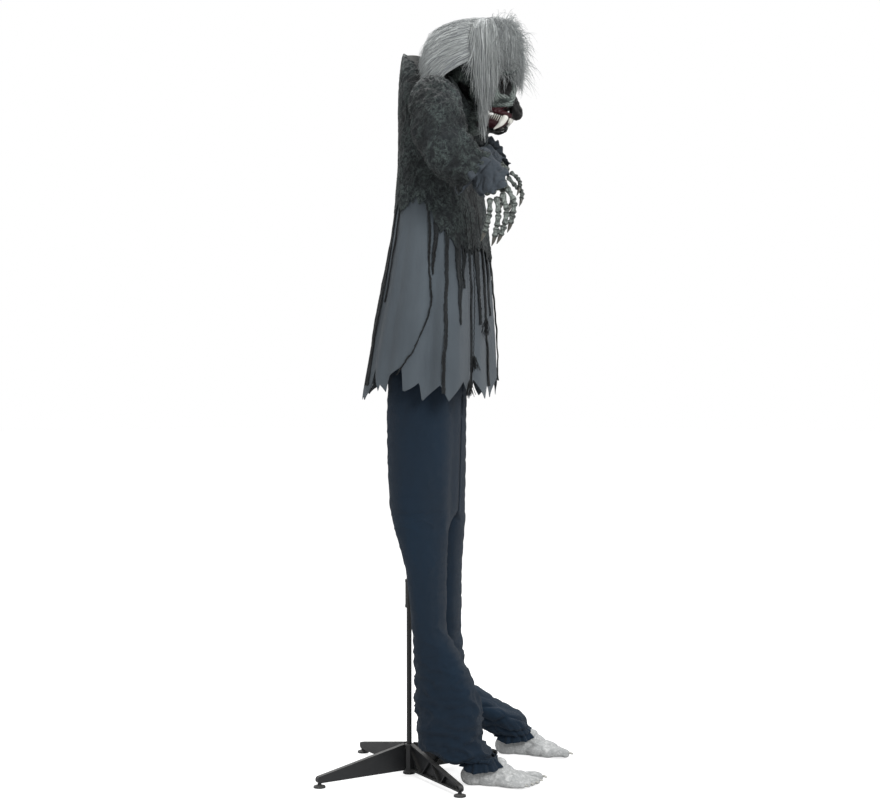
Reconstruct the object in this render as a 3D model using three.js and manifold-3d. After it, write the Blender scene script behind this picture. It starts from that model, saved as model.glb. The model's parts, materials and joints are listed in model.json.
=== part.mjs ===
// Standing animated wolf figure: a dressed, hunched beast on a four-legged pole stand.
// Millimetres, +Z up, origin under the stand's hub on the pole's axis. The figure faces -Y, its right hand is at -X.
import * as THREE from 'three';
import { mergeVertices } from 'three/addons/utils/BufferGeometryUtils.js';
import Module from 'manifold-3d';

const wasm = await Module();
wasm.setup();

// Fits shared by every piece
const fitGap = 0.3;
const overrun = 8;
const weldDistance = 0.0005;
const roundSideCount = 12;
const smallSideCount = 8;
const wideSideCount = 18;
const headSideCount = 6;
const tipSegmentCount = 4;
const halfTurn = Math.PI;
const fullTurn = 2 * Math.PI;

// Stand
const hub = { radius: 12.5, height: 70, lipRadius: 14.5, lipHeight: 5, chamfer: 2, socketFloor: 12, socketWall: 1, sideCount: 8 };
const standLeg = {
  reach: 238, rootHeight: 61, tipHeight: 16, floorRoom: 10, width: 11, skin: 3, rim: 4, rib: 2.5,
  ribCount: 5, tongue: 5, tongueWidth: 5, tongueHeight: 44,
};
const legPad = { radius: 14, thickness: 4, neckRadius: 4.5, edge: 1.5 };
const standLegPlaces = [
  { place: 'front_left', angleDeg: -43 },
  { place: 'rear_left', angleDeg: 43 },
  { place: 'rear_right', angleDeg: 137 },
  { place: 'front_right', angleDeg: 223 },
];
const pole = { radius: 6, wall: 1.2, lowerTop: 420, middleTop: 860 };
const coupler = { radius: 9, length: 65, lip: 0.7, lipLength: 6 };

// Facets round and down each kind of egg
const faceEgg = { aroundCount: 14, downCount: 8 };
const formEgg = { aroundCount: 11, downCount: 6 };
const browEgg = { aroundCount: 12, downCount: 5 };
const smallEgg = { aroundCount: 10, downCount: 5 };
const eyeEgg = { aroundCount: 10, downCount: 6 };
const toeEgg = { aroundCount: 6, downCount: 4 };

// Torso shell: rows are shares of its height, half width, front depth and back depth
const torso = { bottom: 1140, height: 508, halfWidth: 128, frontDepth: 142, backDepth: 10, wall: 2.5, splitY: -42 };
const torsoRowShares = [
  [0.00, 0.79, 0.79, 1.00],
  [0.32, 0.91, 0.95, 1.00],
  [0.52, 0.98, 1.00, 1.00],
  [0.67, 1.00, 0.99, 1.00],
  [0.77, 0.97, 0.84, 1.00],
  [0.89, 0.70, 0.48, 1.00],
  [1.00, 0.33, 0.24, 0.75],
];
const torsoTop = torso.bottom + torso.height;
const belowTop = {
  pole: 170, shoulder: 110, neck: 86, skull: 36, shirt: 42, flare: 286, frontFlare: 198, gauze: 386,
};
const poleTop = torsoTop - belowTop.pole;
const bodySideCount = 24;
const bodyPower = 2.5;

// Shoulder carrier inside the torso
const tee = { radius: 12, cupLength: 80, halfWidth: 32, floor: 3, backRoom: 1.5 };
const shoulder = { x: 147, y: -96, z: torsoTop - belowTop.shoulder };
const shoulderBar = { radius: 8, wall: 1.5, y: -24, halfLength: 89 };
const bracket = { cupRadius: 11.5, cupLength: 22, rodRadius: 7, stemRadius: 9, stemLength: 16 };

// Neck: its axis leaves the sloping breast, leaning forward
const neck = {
  y: -90, z: torsoTop - belowTop.neck, leanDeg: 40, flangeRadius: 42, flangeThickness: 7, shaftRadius: 5, shaftTop: 62, shaftTail: 42,
  plateRadius: 26, plateThickness: 4, bushRadius: 8, bushFlange: 14, bushLip: 3, bushDepth: 10,
};
const gear = { module: 2, wheelTeeth: 27, pinionTeeth: 9, width: 8, drop: 22, backlash: 0.5, hubRadius: 9, hubLength: 4 };
const gearToothShares = { root: 0.62, tip: 0.26, addendum: 0.85, dedendum: 1.15 };
const gearbox = { halfWidth: 27, depth: 40, height: 30, postRadius: 3.5, postSide: 22, postBack: 30, canRadius: 14, canLength: 34 };
const pinionShaftRadius = 2.5;

// Arms: joint places are offsets from the shoulder joint, outwards, forwards and down
const armReach = {
  right: {
    side: -1, elbowOut: 121, elbowForward: 50, elbowDown: 113, wristIn: 26, wristForward: 82, wristDown: 50,
    palmDeg: 35, fingerDeg: 0,
  },
  left: {
    side: 1, elbowOut: 136, elbowForward: -36, elbowDown: 106, wristIn: 33, wristForward: 85, wristDown: -8,
    palmDeg: 48, fingerDeg: 22,
  },
};
const arm = {
  tubeRadius: 6.5, eyeRadius: 10, eyeThickness: 7, earThickness: 3.5, pinRadius: 3, pinHead: 5.5, pinHeadLength: 2,
  neckLength: 22, elbowNeck: 62, tail: 14, bridge: 8,
};
const sleeve = {
  startX: 137, startRadius: 50, bellyRadius: 53, elbowRadius: 56, rimRise: 40, wall: 2, seam: 1.2, cuffStart: 34,
  hemRadius: 52, hemDrop: 22, armHole: 22, ruffle: 0.08, ruffleCount: 7,
};
const sleeveHemShare = 0.8;
const sleeveTubeShares = [[0.82, 0.86], [1.05, 1]];
const sleeveSideCount = 14;

// Hand: fingers hang from the knuckles; lengths are along each finger
const hand = {
  wristRadius: 19, palmLength: 62, palmHalfWidth: 34, palmHalfDepth: 14, fingerLength: 112, fingerRadius: 7.4,
  socketDepth: 26, mouthRoom: 7, thumbLength: 76, thumbDeg: 52, curl: 16,
};
const palmWideShares = [0.56, 0.62, 0.86, 1.0, 0.94];
const palmDeepShares = [1.30, 1.20, 1.12, 1.0, 0.70];
const palmSideCount = 8;
const fingerSideCount = 5;
const fingerSideShares = [-0.78, -0.27, 0.25, 0.75];
const fingerSpreadDegs = [-13, -4, 5, 14];
const fingerLengthShares = [0.84, 1.0, 0.97, 0.80];
const fingerBulgeShares = [1.10, 0.72, 1.02, 0.66, 0.90, 0.54, 0.08];
const fingerPlaceShares = [-0.06, 0.20, 0.40, 0.54, 0.68, 0.82, 1.00];

// Head: places are offsets from the skull's centre
const skull = { y: -160, z: torsoTop - belowTop.skull, halfWidth: 62, halfDepth: 62, halfHeight: 80 };
const mask = {
  halfWidth: 78, halfDepth: 84, halfHeight: 104, centreForward: 8, centreDown: 10,
  muzzleHalfWidth: 41, muzzleHalfDepth: 42, muzzleHalfHeight: 31, muzzleForward: 54, muzzleDown: 76,
  noseHalfWidth: 16, noseHalfDepth: 14, noseHalfHeight: 13, noseForward: 91, noseDown: 80,
  browHalfWidth: 55, browHalfDepth: 22, browHalfHeight: 20, browForward: 68, browDown: -4,
  cheekHalfWidth: 24, cheekHalfDepth: 32, cheekHalfHeight: 30, cheekOut: 44, cheekForward: 40, cheekDown: 54,
  jawHalfWidth: 27, jawHalfDepth: 38, jawHalfHeight: 19, jawForward: 15, jawDown: 118,
  neckHole: 36, throatRadius: 105, throatLift: 38,
};
const mouth = { backForward: 32, ceilingDown: 98, height: 19, reach: 90, halfWidth: 70 };
const teeth = { archHalfWidth: 34, archDepth: 48, gumWidth: 9, gumHeight: 6, toothRadius: 3, toothLength: 11, fangRadius: 6.5, fangLength: 36, fangBack: 17 };
const smallToothTurnShares = [-0.92, -0.80, -0.68, -0.56, -0.16, 0, 0.16, 0.56, 0.68, 0.80, 0.92];
const fangTurnShare = 0.37;
const eye = { radius: 12, out: 32, forward: 66, down: 28, socketHalfWidth: 21, socketHalfDepth: 19, socketHalfHeight: 16, socketForward: 88 };
const wig = {
  front: 122, length: 260, halfWidth: 98, rise: 127, fall: 118, faceForward: 50, browUp: 20, rimLift: 38,
  lockOut: 85, lockForward: 34, lockDrop: 52, lockLength: 106, lockDepth: 16, lockThickness: 9,
};
const wigSideCount = 14;
const wigPower = 2.2;
// Wig rows from the fringe to the swept end, as shares: way back, width, top over the rise, bottom over the fall
const wigRowShares = [
  [0.00, 0.38, 0.62, 0.30],
  [0.06, 0.64, 0.80, -0.10],
  [0.16, 0.85, 0.93, -0.60],
  [0.28, 0.96, 1.00, -0.95],
  [0.42, 1.00, 0.99, -1.00],
  [0.56, 0.98, 0.94, -0.70],
  [0.70, 0.93, 0.86, -0.27],
  [0.84, 0.84, 0.72, 0.00],
  [0.94, 0.66, 0.57, 0.13],
  [1.00, 0.36, 0.44, 0.22],
];
const lockShares = [0, 0.35, 0.7, 1];
const throatShare = 0.6;

// Clothes
const cloth = { thickness: 2, room: 0.8 };
const shirt = {
  top: torsoTop - belowTop.shirt, flareTop: torsoTop - belowTop.flare, frontFlareTop: torsoTop - belowTop.frontFlare,
  hem: 905, hemHalfWidth: 200, hemFront: 196, hemBack: 100, hemDrop: 32,
  hemRise: 66, foldDepth: 7, foldCount: 6, frontFlarePower: 0.45, sideFlarePower: 0.6, armholeRadius: 44,
};
const shirtLevelShares = [0.16, 0.36, 0.58, 0.80, 1];
const hemRiseShares = [0, 0.5, 0.08, 0.36, 0, 0.95, 0.2, 0.44];
const gauze = { bottom: torsoTop - belowTop.gauze, ragged: 48, stripBottom: 900, room: 0.8, stripRoom: 1.2, neckHole: 69 };
const gauzeEdgeShares = [0.1, 0.7, 0.25, 1, 0.4];
const gauzeStripShares = [0.03, 0.18, 0.29, 0.43, 0.54, 0.68, 0.79, 0.93];
const gauzeStripReachShares = [0.86, 0.98, 0.70, 0.92, 0.60, 0.96, 0.74, 0.90];
const waistRise = 40;
const trousers = {
  waist: torso.bottom + waistRise, hip: 880, crotch: 620, gusset: 570, hem: 66, waistEase: 2, hipHalfWidth: 150, hipFront: 136, hipBack: 50,
  seatFront: 128, seatBack: 38, gussetHalfWidth: 34, gussetFront: 96, gussetBack: 6, legOut: 92, legForward: 62, legHalfWidth: 58, legHalfDepth: 60, sideCount: 18, legSideCount: 10,
};
const seatShares = { level: 0.45, size: 0.7 };
const waistShares = { level: 0.7, size: 0.6 };
// Leg rows from the ankle up, as shares: height, way out to the foot, way forward to the ankle, width, depth
const trouserLegShares = [
  [0.00, 1.00, 1.00, 0.55, 0.55],
  [0.045, 0.90, 0.52, 1.02, 1.18],
  [0.12, 0.68, 0.40, 1.04, 1.24],
  [0.24, 0.44, 0.26, 0.98, 0.98],
  [0.32, 0.26, 0.14, 0.94, 0.74],
  [0.51, 0.05, 0.00, 1.06, 1.00],
  [0.64, 0.00, -0.08, 1.24, 1.22],
  [0.74, -0.02, -0.10, 1.16, 1.10],
];
const ankle = {
  radius: 24, top: 92, cuffTop: 65, cuffBottom: 47, cuffSideDrop: 12, cuffRadius: 44, cuffRuffle: 3, stretch: 1.15,
  sideCount: 16, holeSideCount: 16,
};
const foot = { length: 186, ballHalfWidth: 43, height: 44, toeRadius: 10, ankleForward: 48, sideCount: 10 };
const footFlatShare = 0.36;
const footToeRootShare = 0.8;
const footToeBaseShare = 0.66;
// Sole rows from heel to toes, as shares: length, width, height, lean
const footRowShares = [
  [0.00, 0.30, 0.42, 0.0],
  [0.05, 0.58, 0.80, 0.0],
  [0.22, 0.66, 1.00, 0.0],
  [0.42, 0.72, 0.94, 0.04],
  [0.60, 0.92, 0.66, 0.06],
  [0.76, 0.98, 0.42, 0.04],
  [0.86, 0.80, 0.26, 0.0],
];
const footPlace = {
  right: { side: -1, x: -62, heelY: -138, turnDeg: 3 },
  left: { side: 1, x: 246, heelY: -150, turnDeg: -6 },
};
const toeLengthShares = [1.0, 0.92, 0.78, 0.60, 0.40];
const toeSizeShares = [1.3, 0.95, 0.9, 0.85, 0.8];

// Control unit in the belly
const controlRise = 98;
const control = {
  halfWidth: 48, height: 88, depth: 38, z: torso.bottom + controlRise, wall: 2.5, flange: 5, coverThickness: 3, bayHeight: 36, bayDepth: 24,
  doorThickness: 2, doorLip: 3,
};
const speaker = { radius: 17, depth: 13, out: 24, up: 20, rim: 2, magnetShare: 0.5, slotCount: 5, slotWidth: 2.5, slotPitch: 5.5 };
const tryButton = { radius: 6, out: 24, up: 26, stand: 2.5, flange: 2 };
const powerSwitch = { width: 6, height: 5, travel: 4, out: 24, up: 8, stand: 2.5, plate: 8, back: 2 };
const board = { halfWidth: 42, height: 38, thickness: 1.6, boss: 3, stand: 4 };

// Finishes
const finishes = {
  blackPlastic: { color: 0x1b1c1e, roughness: 0.55, metalness: 0 },
  blackSteel: { color: 0x17181a, roughness: 0.4, metalness: 0.7 },
  zincSteel: { color: 0x9a9ea2, roughness: 0.35, metalness: 0.9 },
  torsoPlastic: { color: 0x2c2e30, roughness: 0.7, metalness: 0 },
  whiteNylon: { color: 0xd8d6cf, roughness: 0.5, metalness: 0 },
  board: { color: 0x2e5a3a, roughness: 0.5, metalness: 0 },
  foam: { color: 0x8f8f88, roughness: 0.95, metalness: 0 },
  latexDark: { color: 0x323c39, roughness: 0.6, metalness: 0 },
  latexHand: { color: 0x5b6669, roughness: 0.6, metalness: 0 },
  latexFoot: { color: 0xb9bab6, roughness: 0.55, metalness: 0 },
  ivory: { color: 0xe8e4d8, roughness: 0.35, metalness: 0 },
  amberLens: { color: 0x5a1a10, roughness: 0.15, metalness: 0 },
  greyFur: { color: 0x8c908e, roughness: 0.95, metalness: 0 },
  greyCloth: { color: 0x585d63, roughness: 0.9, metalness: 0 },
  blackGauze: { color: 0x2a2c2e, roughness: 0.95, metalness: 0 },
  navyCloth: { color: 0x1d2b3a, roughness: 0.9, metalness: 0 },
};

const figure = new THREE.Group();

// Solids: closed meshes that can be joined and cut
function toSolid(shape) {
  if (!(shape instanceof THREE.BufferGeometry)) return shape;
  const bare = shape.clone();
  bare.deleteAttribute('normal');
  bare.deleteAttribute('uv');
  const merged = mergeVertices(bare, weldDistance);
  const place = merged.attributes.position.array;
  const corner = merged.index.array;
  const kept = [];
  let volume = 0;
  for (let i = 0; i < corner.length; i += 3) {
    const [a, b, c] = [corner[i], corner[i + 1], corner[i + 2]];
    if (a === b || b === c || a === c) continue;
    kept.push(a, b, c);
    const [p, q, r] = [a, b, c].map((k) => new THREE.Vector3().fromArray(place, 3 * k));
    volume += p.dot(q.cross(r));
  }
  if (volume < 0) kept.reverse();
  return new wasm.Manifold(new wasm.Mesh({
    numProp: 3,
    vertProperties: new Float32Array(place),
    triVerts: new Uint32Array(kept),
  }));
}

function toGeometry(shape) {
  const mesh = toSolid(shape).getMesh();
  const geometry = new THREE.BufferGeometry();
  geometry.setAttribute('position', new THREE.BufferAttribute(mesh.vertProperties, 3));
  geometry.setIndex(new THREE.BufferAttribute(mesh.triVerts, 1));
  geometry.computeVertexNormals();
  return geometry;
}

function join(first, ...others) {
  return others.reduce((sum, other) => sum.add(toSolid(other)), toSolid(first));
}

function cut(first, ...tools) {
  return tools.reduce((rest, tool) => rest.subtract(toSolid(tool)), toSolid(first));
}

function common(first, second) {
  return toSolid(first).intersect(toSolid(second));
}

function addPiece(name, shape, finish, parent = figure) {
  const mesh = new THREE.Mesh(toGeometry(shape), new THREE.MeshStandardMaterial(finish));
  mesh.name = name;
  parent.add(mesh);
  return mesh;
}

// Plain forms, placed
function block(x0, x1, y0, y1, z0, z1) {
  const box = new THREE.BoxGeometry(x1 - x0, y1 - y0, z1 - z0);
  return box.translate((x0 + x1) / 2, (y0 + y1) / 2, (z0 + z1) / 2);
}

function between(start, end, startRadius, endRadius = startRadius, sides = roundSideCount) {
  const way = new THREE.Vector3().subVectors(end, start);
  const rod = new THREE.CylinderGeometry(endRadius, startRadius, way.length(), sides);
  rod.applyQuaternion(new THREE.Quaternion().setFromUnitVectors(new THREE.Vector3(0, 1, 0), way.clone().normalize()));
  const middle = start.clone().add(end).multiplyScalar(0.5);
  return rod.translate(middle.x, middle.y, middle.z);
}

function upright(radius, z0, z1, x = 0, y = 0, sides = roundSideCount) {
  return between(new THREE.Vector3(x, y, z0), new THREE.Vector3(x, y, z1), radius, radius, sides);
}

function sideways(radius, x0, x1, y, z, sides = roundSideCount) {
  return between(new THREE.Vector3(x0, y, z), new THREE.Vector3(x1, y, z), radius, radius, sides);
}

function egg(centre, halfWidth, halfDepth, halfHeight, facets) {
  const ball = new THREE.SphereGeometry(1, facets.aroundCount, facets.downCount).rotateX(halfTurn / 2);
  ball.scale(halfWidth, halfDepth, halfHeight);
  return ball.translate(centre.x, centre.y, centre.z);
}

// A profile of [radius, height] corners turned about the vertical axis
function turned(profile, sides = roundSideCount) {
  const corners = profile.map(([radius, height]) => new THREE.Vector2(radius, height));
  return new THREE.LatheGeometry(corners, sides).rotateX(halfTurn / 2);
}

function tubePiece(outer, inner, z0, z1, sides = roundSideCount) {
  return turned([[inner, z0], [outer, z0], [outer, z1], [inner, z1], [inner, z0]], sides);
}

// Lofts: rings of points joined in order, closed by end caps or back to the first ring
function loft(rings, looped = false) {
  const sides = rings[0].length;
  const points = rings.flat();
  const index = [];
  const last = looped ? rings.length : rings.length - 1;
  for (let k = 0; k < last; k += 1) {
    const here = k * sides;
    const next = ((k + 1) % rings.length) * sides;
    for (let i = 0; i < sides; i += 1) {
      const j = (i + 1) % sides;
      index.push(here + i, here + j, next + j, here + i, next + j, next + i);
    }
  }
  if (!looped) {
    [rings[0], rings[rings.length - 1]].forEach((ring, end) => {
      const centre = ring.reduce((sum, p) => sum.add(p), new THREE.Vector3()).divideScalar(sides);
      const hubIndex = points.push(centre) - 1;
      const base = end === 0 ? 0 : (rings.length - 1) * sides;
      for (let i = 0; i < sides; i += 1) {
        const j = (i + 1) % sides;
        if (end === 0) index.push(base + j, base + i, hubIndex);
        else index.push(base + i, base + j, hubIndex);
      }
    });
  }
  const geometry = new THREE.BufferGeometry();
  geometry.setAttribute('position', new THREE.Float32BufferAttribute(points.flatMap((p) => p.toArray()), 3));
  geometry.setIndex(index);
  return geometry;
}

function hollowLoft(outer, inner) {
  return loft([...outer, ...[...inner].reverse()], true);
}

// Rings along a path: each stop has a centre, a radius across and a radius in line with `up`
function pathRings(stops, sides, wave = () => 1) {
  const curve = new THREE.CatmullRomCurve3(stops.map((stop) => stop.centre));
  return stops.map((stop, k) => {
    const along = stop.facing ?? curve.getTangent(k / (stops.length - 1));
    const across = new THREE.Vector3().crossVectors(along, stop.up).normalize();
    const over = new THREE.Vector3().crossVectors(across, along).normalize();
    return Array.from({ length: sides }, (_, i) => {
      const turn = (fullTurn * i) / sides;
      const swell = wave(turn, k);
      return stop.centre.clone()
        .addScaledVector(across, Math.cos(turn) * stop.wide * swell)
        .addScaledVector(over, Math.sin(turn) * stop.deep * swell);
    });
  });
}

// Level outlines of the body: a rounded box between its front and back
function levelRing(size, z, sides, grow = 0, fold = () => 0) {
  const middle = (size.back - size.front) / 2;
  const halfDepth = (size.back + size.front) / 2;
  return Array.from({ length: sides }, (_, i) => {
    const turn = (fullTurn * i) / sides;
    const c = Math.cos(turn);
    const s = Math.sin(turn);
    const spread = grow + fold(turn);
    const x = Math.sign(c) * Math.abs(c) ** (2 / bodyPower) * (size.halfWidth + spread);
    const y = Math.sign(s) * Math.abs(s) ** (2 / bodyPower) * (halfDepth + spread);
    return new THREE.Vector3(x, middle + y, z);
  });
}

function mixed(a, b, share) {
  return a + (b - a) * share;
}

function torsoSize(z) {
  const share = THREE.MathUtils.clamp((z - torso.bottom) / torso.height, 0, 1);
  const k = Math.max(1, torsoRowShares.findIndex((row) => row[0] >= share));
  const [low, high] = [torsoRowShares[k - 1], torsoRowShares[k]];
  const t = (share - low[0]) / (high[0] - low[0]);
  return {
    halfWidth: torso.halfWidth * mixed(low[1], high[1], t),
    front: torso.frontDepth * mixed(low[2], high[2], t),
    back: torso.backDepth * mixed(low[3], high[3], t),
  };
}

// Stand
const standGroup = new THREE.Group();
figure.add(standGroup);

function makeHub() {
  const turn = halfTurn / hub.sideCount;
  const body = turned([
    [0, 0], [hub.lipRadius, 0], [hub.lipRadius, hub.lipHeight], [hub.radius, hub.lipHeight + hub.chamfer],
    [hub.radius, hub.height - hub.chamfer], [hub.radius - hub.chamfer, hub.height], [0, hub.height],
  ], hub.sideCount).rotateZ(turn);
  const socket = upright(pole.radius + fitGap, hub.socketFloor, hub.height + overrun);
  const slots = standLegPlaces.map(({ angleDeg }) => {
    const room = standLeg.tongueWidth / 2 + fitGap;
    const slot = block(
      pole.radius + fitGap + hub.socketWall, hub.lipRadius + overrun, -room, room,
      standLeg.floorRoom + standLeg.rim - fitGap, standLeg.floorRoom + standLeg.rim + standLeg.tongueHeight + fitGap,
    );
    return slot.rotateZ(THREE.MathUtils.degToRad(angleDeg));
  });
  addPiece('stand_hub', cut(body, socket, ...slots), finishes.blackPlastic, standGroup);
}

function standLegOutline(inset) {
  const root = hub.lipRadius + fitGap + inset;
  const bottom = standLeg.floorRoom + inset;
  const rootTop = standLeg.floorRoom + standLeg.rootHeight - inset;
  const tipRadius = standLeg.tipHeight / 2 - inset;
  const tipCentre = standLeg.floorRoom + standLeg.tipHeight / 2;
  const outline = new THREE.Shape();
  outline.moveTo(root, bottom);
  outline.lineTo(standLeg.reach, bottom);
  outline.absarc(standLeg.reach, tipCentre, tipRadius, -halfTurn / 2, halfTurn / 2, false);
  outline.lineTo(root, rootTop);
  outline.closePath();
  return outline;
}

function makeStandLeg(place, angleDeg) {
  const beam = new THREE.ExtrudeGeometry(standLegOutline(0), { depth: standLeg.width, bevelEnabled: false, curveSegments: tipSegmentCount });
  const pocket = new THREE.ExtrudeGeometry(
    standLegOutline(standLeg.rim), { depth: standLeg.width, bevelEnabled: false, curveSegments: tipSegmentCount },
  ).translate(0, 0, standLeg.skin);
  const length = standLeg.reach - hub.lipRadius;
  const ribs = Array.from({ length: standLeg.ribCount }, (_, i) => {
    const middle = hub.lipRadius + (length * (i + 0.6)) / standLeg.ribCount;
    const lean = (i % 2 === 0 ? 1 : -1) * halfTurn / 4;
    const rib = new THREE.BoxGeometry(standLeg.rib, 2 * standLeg.rootHeight, 2 * standLeg.width).rotateZ(lean);
    return rib.translate(middle, standLeg.floorRoom + standLeg.rootHeight / 3, 0);
  });
  const tongue = block(
    hub.radius - standLeg.tongue, hub.lipRadius + fitGap + standLeg.rim,
    standLeg.floorRoom + standLeg.rim, standLeg.floorRoom + standLeg.rim + standLeg.tongueHeight,
    (standLeg.width - standLeg.tongueWidth) / 2, (standLeg.width + standLeg.tongueWidth) / 2,
  );
  const leg = join(cut(beam, cut(pocket, ...ribs)), tongue);
  const shape = toGeometry(leg).translate(0, 0, -standLeg.width / 2).rotateX(halfTurn / 2);
  addPiece(`stand_leg_${place}`, shape.rotateZ(THREE.MathUtils.degToRad(angleDeg)), finishes.blackPlastic, standGroup);
}

function makeLegPad(place, angleDeg) {
  const profile = [
    [0, 0], [legPad.radius, 0], [legPad.radius, legPad.thickness - legPad.edge],
    [legPad.radius - legPad.edge, legPad.thickness], [legPad.neckRadius, legPad.thickness + legPad.edge],
    [legPad.neckRadius, standLeg.floorRoom - fitGap], [0, standLeg.floorRoom - fitGap],
  ];
  const pad = addPiece(`leg_pad_${place}`, turned(profile), finishes.blackPlastic, standGroup);
  const angle = THREE.MathUtils.degToRad(angleDeg);
  pad.position.set(Math.cos(angle) * standLeg.reach, Math.sin(angle) * standLeg.reach, 0);
}

function makeCoupler(name, middle) {
  const bore = pole.radius + fitGap;
  const [z0, z1] = [middle - coupler.length / 2, middle + coupler.length / 2];
  const lipRadius = coupler.radius + coupler.lip;
  const profile = [
    [bore, z0], [lipRadius, z0], [lipRadius, z0 + coupler.lipLength], [coupler.radius, z0 + coupler.lipLength + coupler.lip],
    [coupler.radius, z1 - coupler.lipLength - coupler.lip], [lipRadius, z1 - coupler.lipLength], [lipRadius, z1],
    [bore, z1], [bore, z0],
  ];
  addPiece(name, turned(profile), finishes.blackPlastic, standGroup);
}

function makePoles() {
  const inner = pole.radius - pole.wall;
  const bottoms = [hub.socketFloor + fitGap, pole.lowerTop + fitGap / 2, pole.middleTop + fitGap / 2];
  const tops = [pole.lowerTop - fitGap / 2, pole.middleTop - fitGap / 2, poleTop];
  ['pole_lower', 'pole_middle', 'pole_upper'].forEach((name, i) => {
    addPiece(name, tubePiece(pole.radius, inner, bottoms[i], tops[i]), finishes.blackSteel, standGroup);
  });
  makeCoupler('pole_coupler_lower', pole.lowerTop);
  makeCoupler('pole_coupler_upper', pole.middleTop);
}

makeHub();
standLegPlaces.forEach(({ place, angleDeg }) => {
  makeStandLeg(place, angleDeg);
  makeLegPad(place, angleDeg);
});
makePoles();

// Torso
const torsoGroup = new THREE.Group();
figure.add(torsoGroup);

// The neck's own axes: +Z along the shaft, +Y up the slope of the breast
const neckLean = THREE.MathUtils.degToRad(neck.leanDeg);
const neckPlace = new THREE.Matrix4().makeRotationX(neckLean).setPosition(0, neck.y, neck.z);
const atNeck = (shape) => toGeometry(shape).applyMatrix4(neckPlace);

const torsoLevels = torsoRowShares.map((row) => torso.bottom + row[0] * torso.height);

function torsoRings(grow, sides = bodySideCount) {
  return torsoLevels.map((z) => levelRing(torsoSize(z), z, sides, grow));
}

function makeTorso() {
  const outer = toSolid(loft(torsoRings(0)));
  const innerRings = torsoRings(-torso.wall, bodySideCount / 2).filter((_, k) => k % 2 === 0 || k === torsoLevels.length - 1);
  const top = innerRings.length - 1;
  innerRings[top] = innerRings[top].map((p) => p.clone().setZ(p.z - torso.wall));
  innerRings[0] = innerRings[0].map((p) => p.clone().setZ(p.z - overrun));
  const sideHoles = [-1, 1].map((side) => block(
    ...[side * shoulder.x / 2, side * shoulder.x].sort((a, b) => a - b),
    shoulder.y - bracket.stemRadius - overrun / 2, shoulderBar.y - bracket.cupRadius,
    shoulder.z - bracket.stemRadius - overrun / 2, shoulder.z + bracket.stemRadius + overrun / 2,
  ));
  const rimRadius = neck.flangeRadius - neck.flangeThickness / 2;
  const rimRing = cut(
    atNeck(upright(neck.flangeRadius, -neck.flangeThickness, neck.flangeRadius, 0, 0, wideSideCount)),
    atNeck(upright(rimRadius, 0, neck.flangeRadius + overrun, 0, 0, wideSideCount)),
  );
  const aboveSeat = atNeck(upright(rimRadius, 0, neck.flangeRadius + overrun, 0, 0, wideSideCount));
  const neckBore = atNeck(upright(neck.bushRadius + fitGap, -neck.flangeThickness - overrun, overrun));
  const seat = common(rimRing, outer);
  const hollow = cut(outer, loft(innerRings), ...sideHoles, aboveSeat);
  const bellyFace = controlFaceY();
  const rim = control.flange + control.wall;
  const [z0, z1] = [control.z - control.height / 2, control.z + control.height / 2];
  const padBack = bellyFace + torso.wall + control.wall;
  const pad = block(-control.halfWidth - rim, control.halfWidth + rim, bellyFace, padBack, z0 - rim, z1 + rim);
  const frontY = -torso.frontDepth - overrun;
  const beforePad = block(-torso.halfWidth, torso.halfWidth, frontY - overrun, bellyFace, z0 - rim, z1 + rim);
  const window = block(
    -control.halfWidth - fitGap, control.halfWidth + fitGap, frontY, bellyFace + control.depth, z0 - fitGap, z1 + fitGap,
  );
  const big = torso.halfWidth + overrun;
  const topZ = torso.bottom + torso.height + overrun;
  const frontHalf = block(-big, big, frontY, torso.splitY - fitGap / 2, torso.bottom - overrun, topZ);
  const backHalf = block(-big, big, torso.splitY + fitGap / 2, torso.backDepth + overrun, torso.bottom - overrun, topZ);
  const shell = join(hollow, seat);
  addPiece('torso_front', cut(join(common(shell, frontHalf), pad), beforePad, window, neckBore), finishes.torsoPlastic, torsoGroup);
  addPiece('torso_back', common(cut(shell, neckBore), backHalf), finishes.torsoPlastic, torsoGroup);
}

function controlFaceY() {
  return -torsoSize(control.z + control.height / 2).front + control.wall + torso.wall;
}

// Carrier: cup over the pole's top with a cross bore for the shoulder bar
function makeCarrier() {
  const cupBottom = poleTop - tee.cupLength;
  const column = upright(tee.radius, cupBottom, shoulder.z - tee.radius);
  const neckStem = between(
    new THREE.Vector3(0, 0, poleTop + tee.floor), new THREE.Vector3(0, shoulderBar.y, shoulder.z), tee.radius,
  );
  const cross = sideways(tee.radius, -tee.halfWidth, tee.halfWidth, shoulderBar.y, shoulder.z);
  const bore = upright(pole.radius + fitGap, cupBottom - overrun, poleTop + fitGap);
  const crossBore = sideways(shoulderBar.radius + fitGap, -tee.halfWidth - overrun, tee.halfWidth + overrun, shoulderBar.y, shoulder.z);
  const behind = block(
    -tee.halfWidth * 2, tee.halfWidth * 2, torso.backDepth - torso.wall - tee.backRoom, torso.backDepth + overrun * 2,
    cupBottom - overrun, shoulder.z + tee.radius * 2,
  );
  addPiece('pole_socket', cut(join(column, neckStem, cross), bore, crossBore, behind), finishes.torsoPlastic, torsoGroup);
  const bar = tubePiece(shoulderBar.radius, shoulderBar.radius - shoulderBar.wall, -shoulderBar.halfLength, shoulderBar.halfLength)
    .rotateY(halfTurn / 2);
  addPiece('shoulder_bar', bar, finishes.zincSteel, torsoGroup).position.set(0, shoulderBar.y, shoulder.z);
}

makeTorso();
makeCarrier();

// Neck drive, in the neck's own axes
const neckGroup = new THREE.Group();
neckGroup.position.set(0, neck.y, neck.z);
neckGroup.rotation.x = neckLean;
figure.add(neckGroup);

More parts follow.
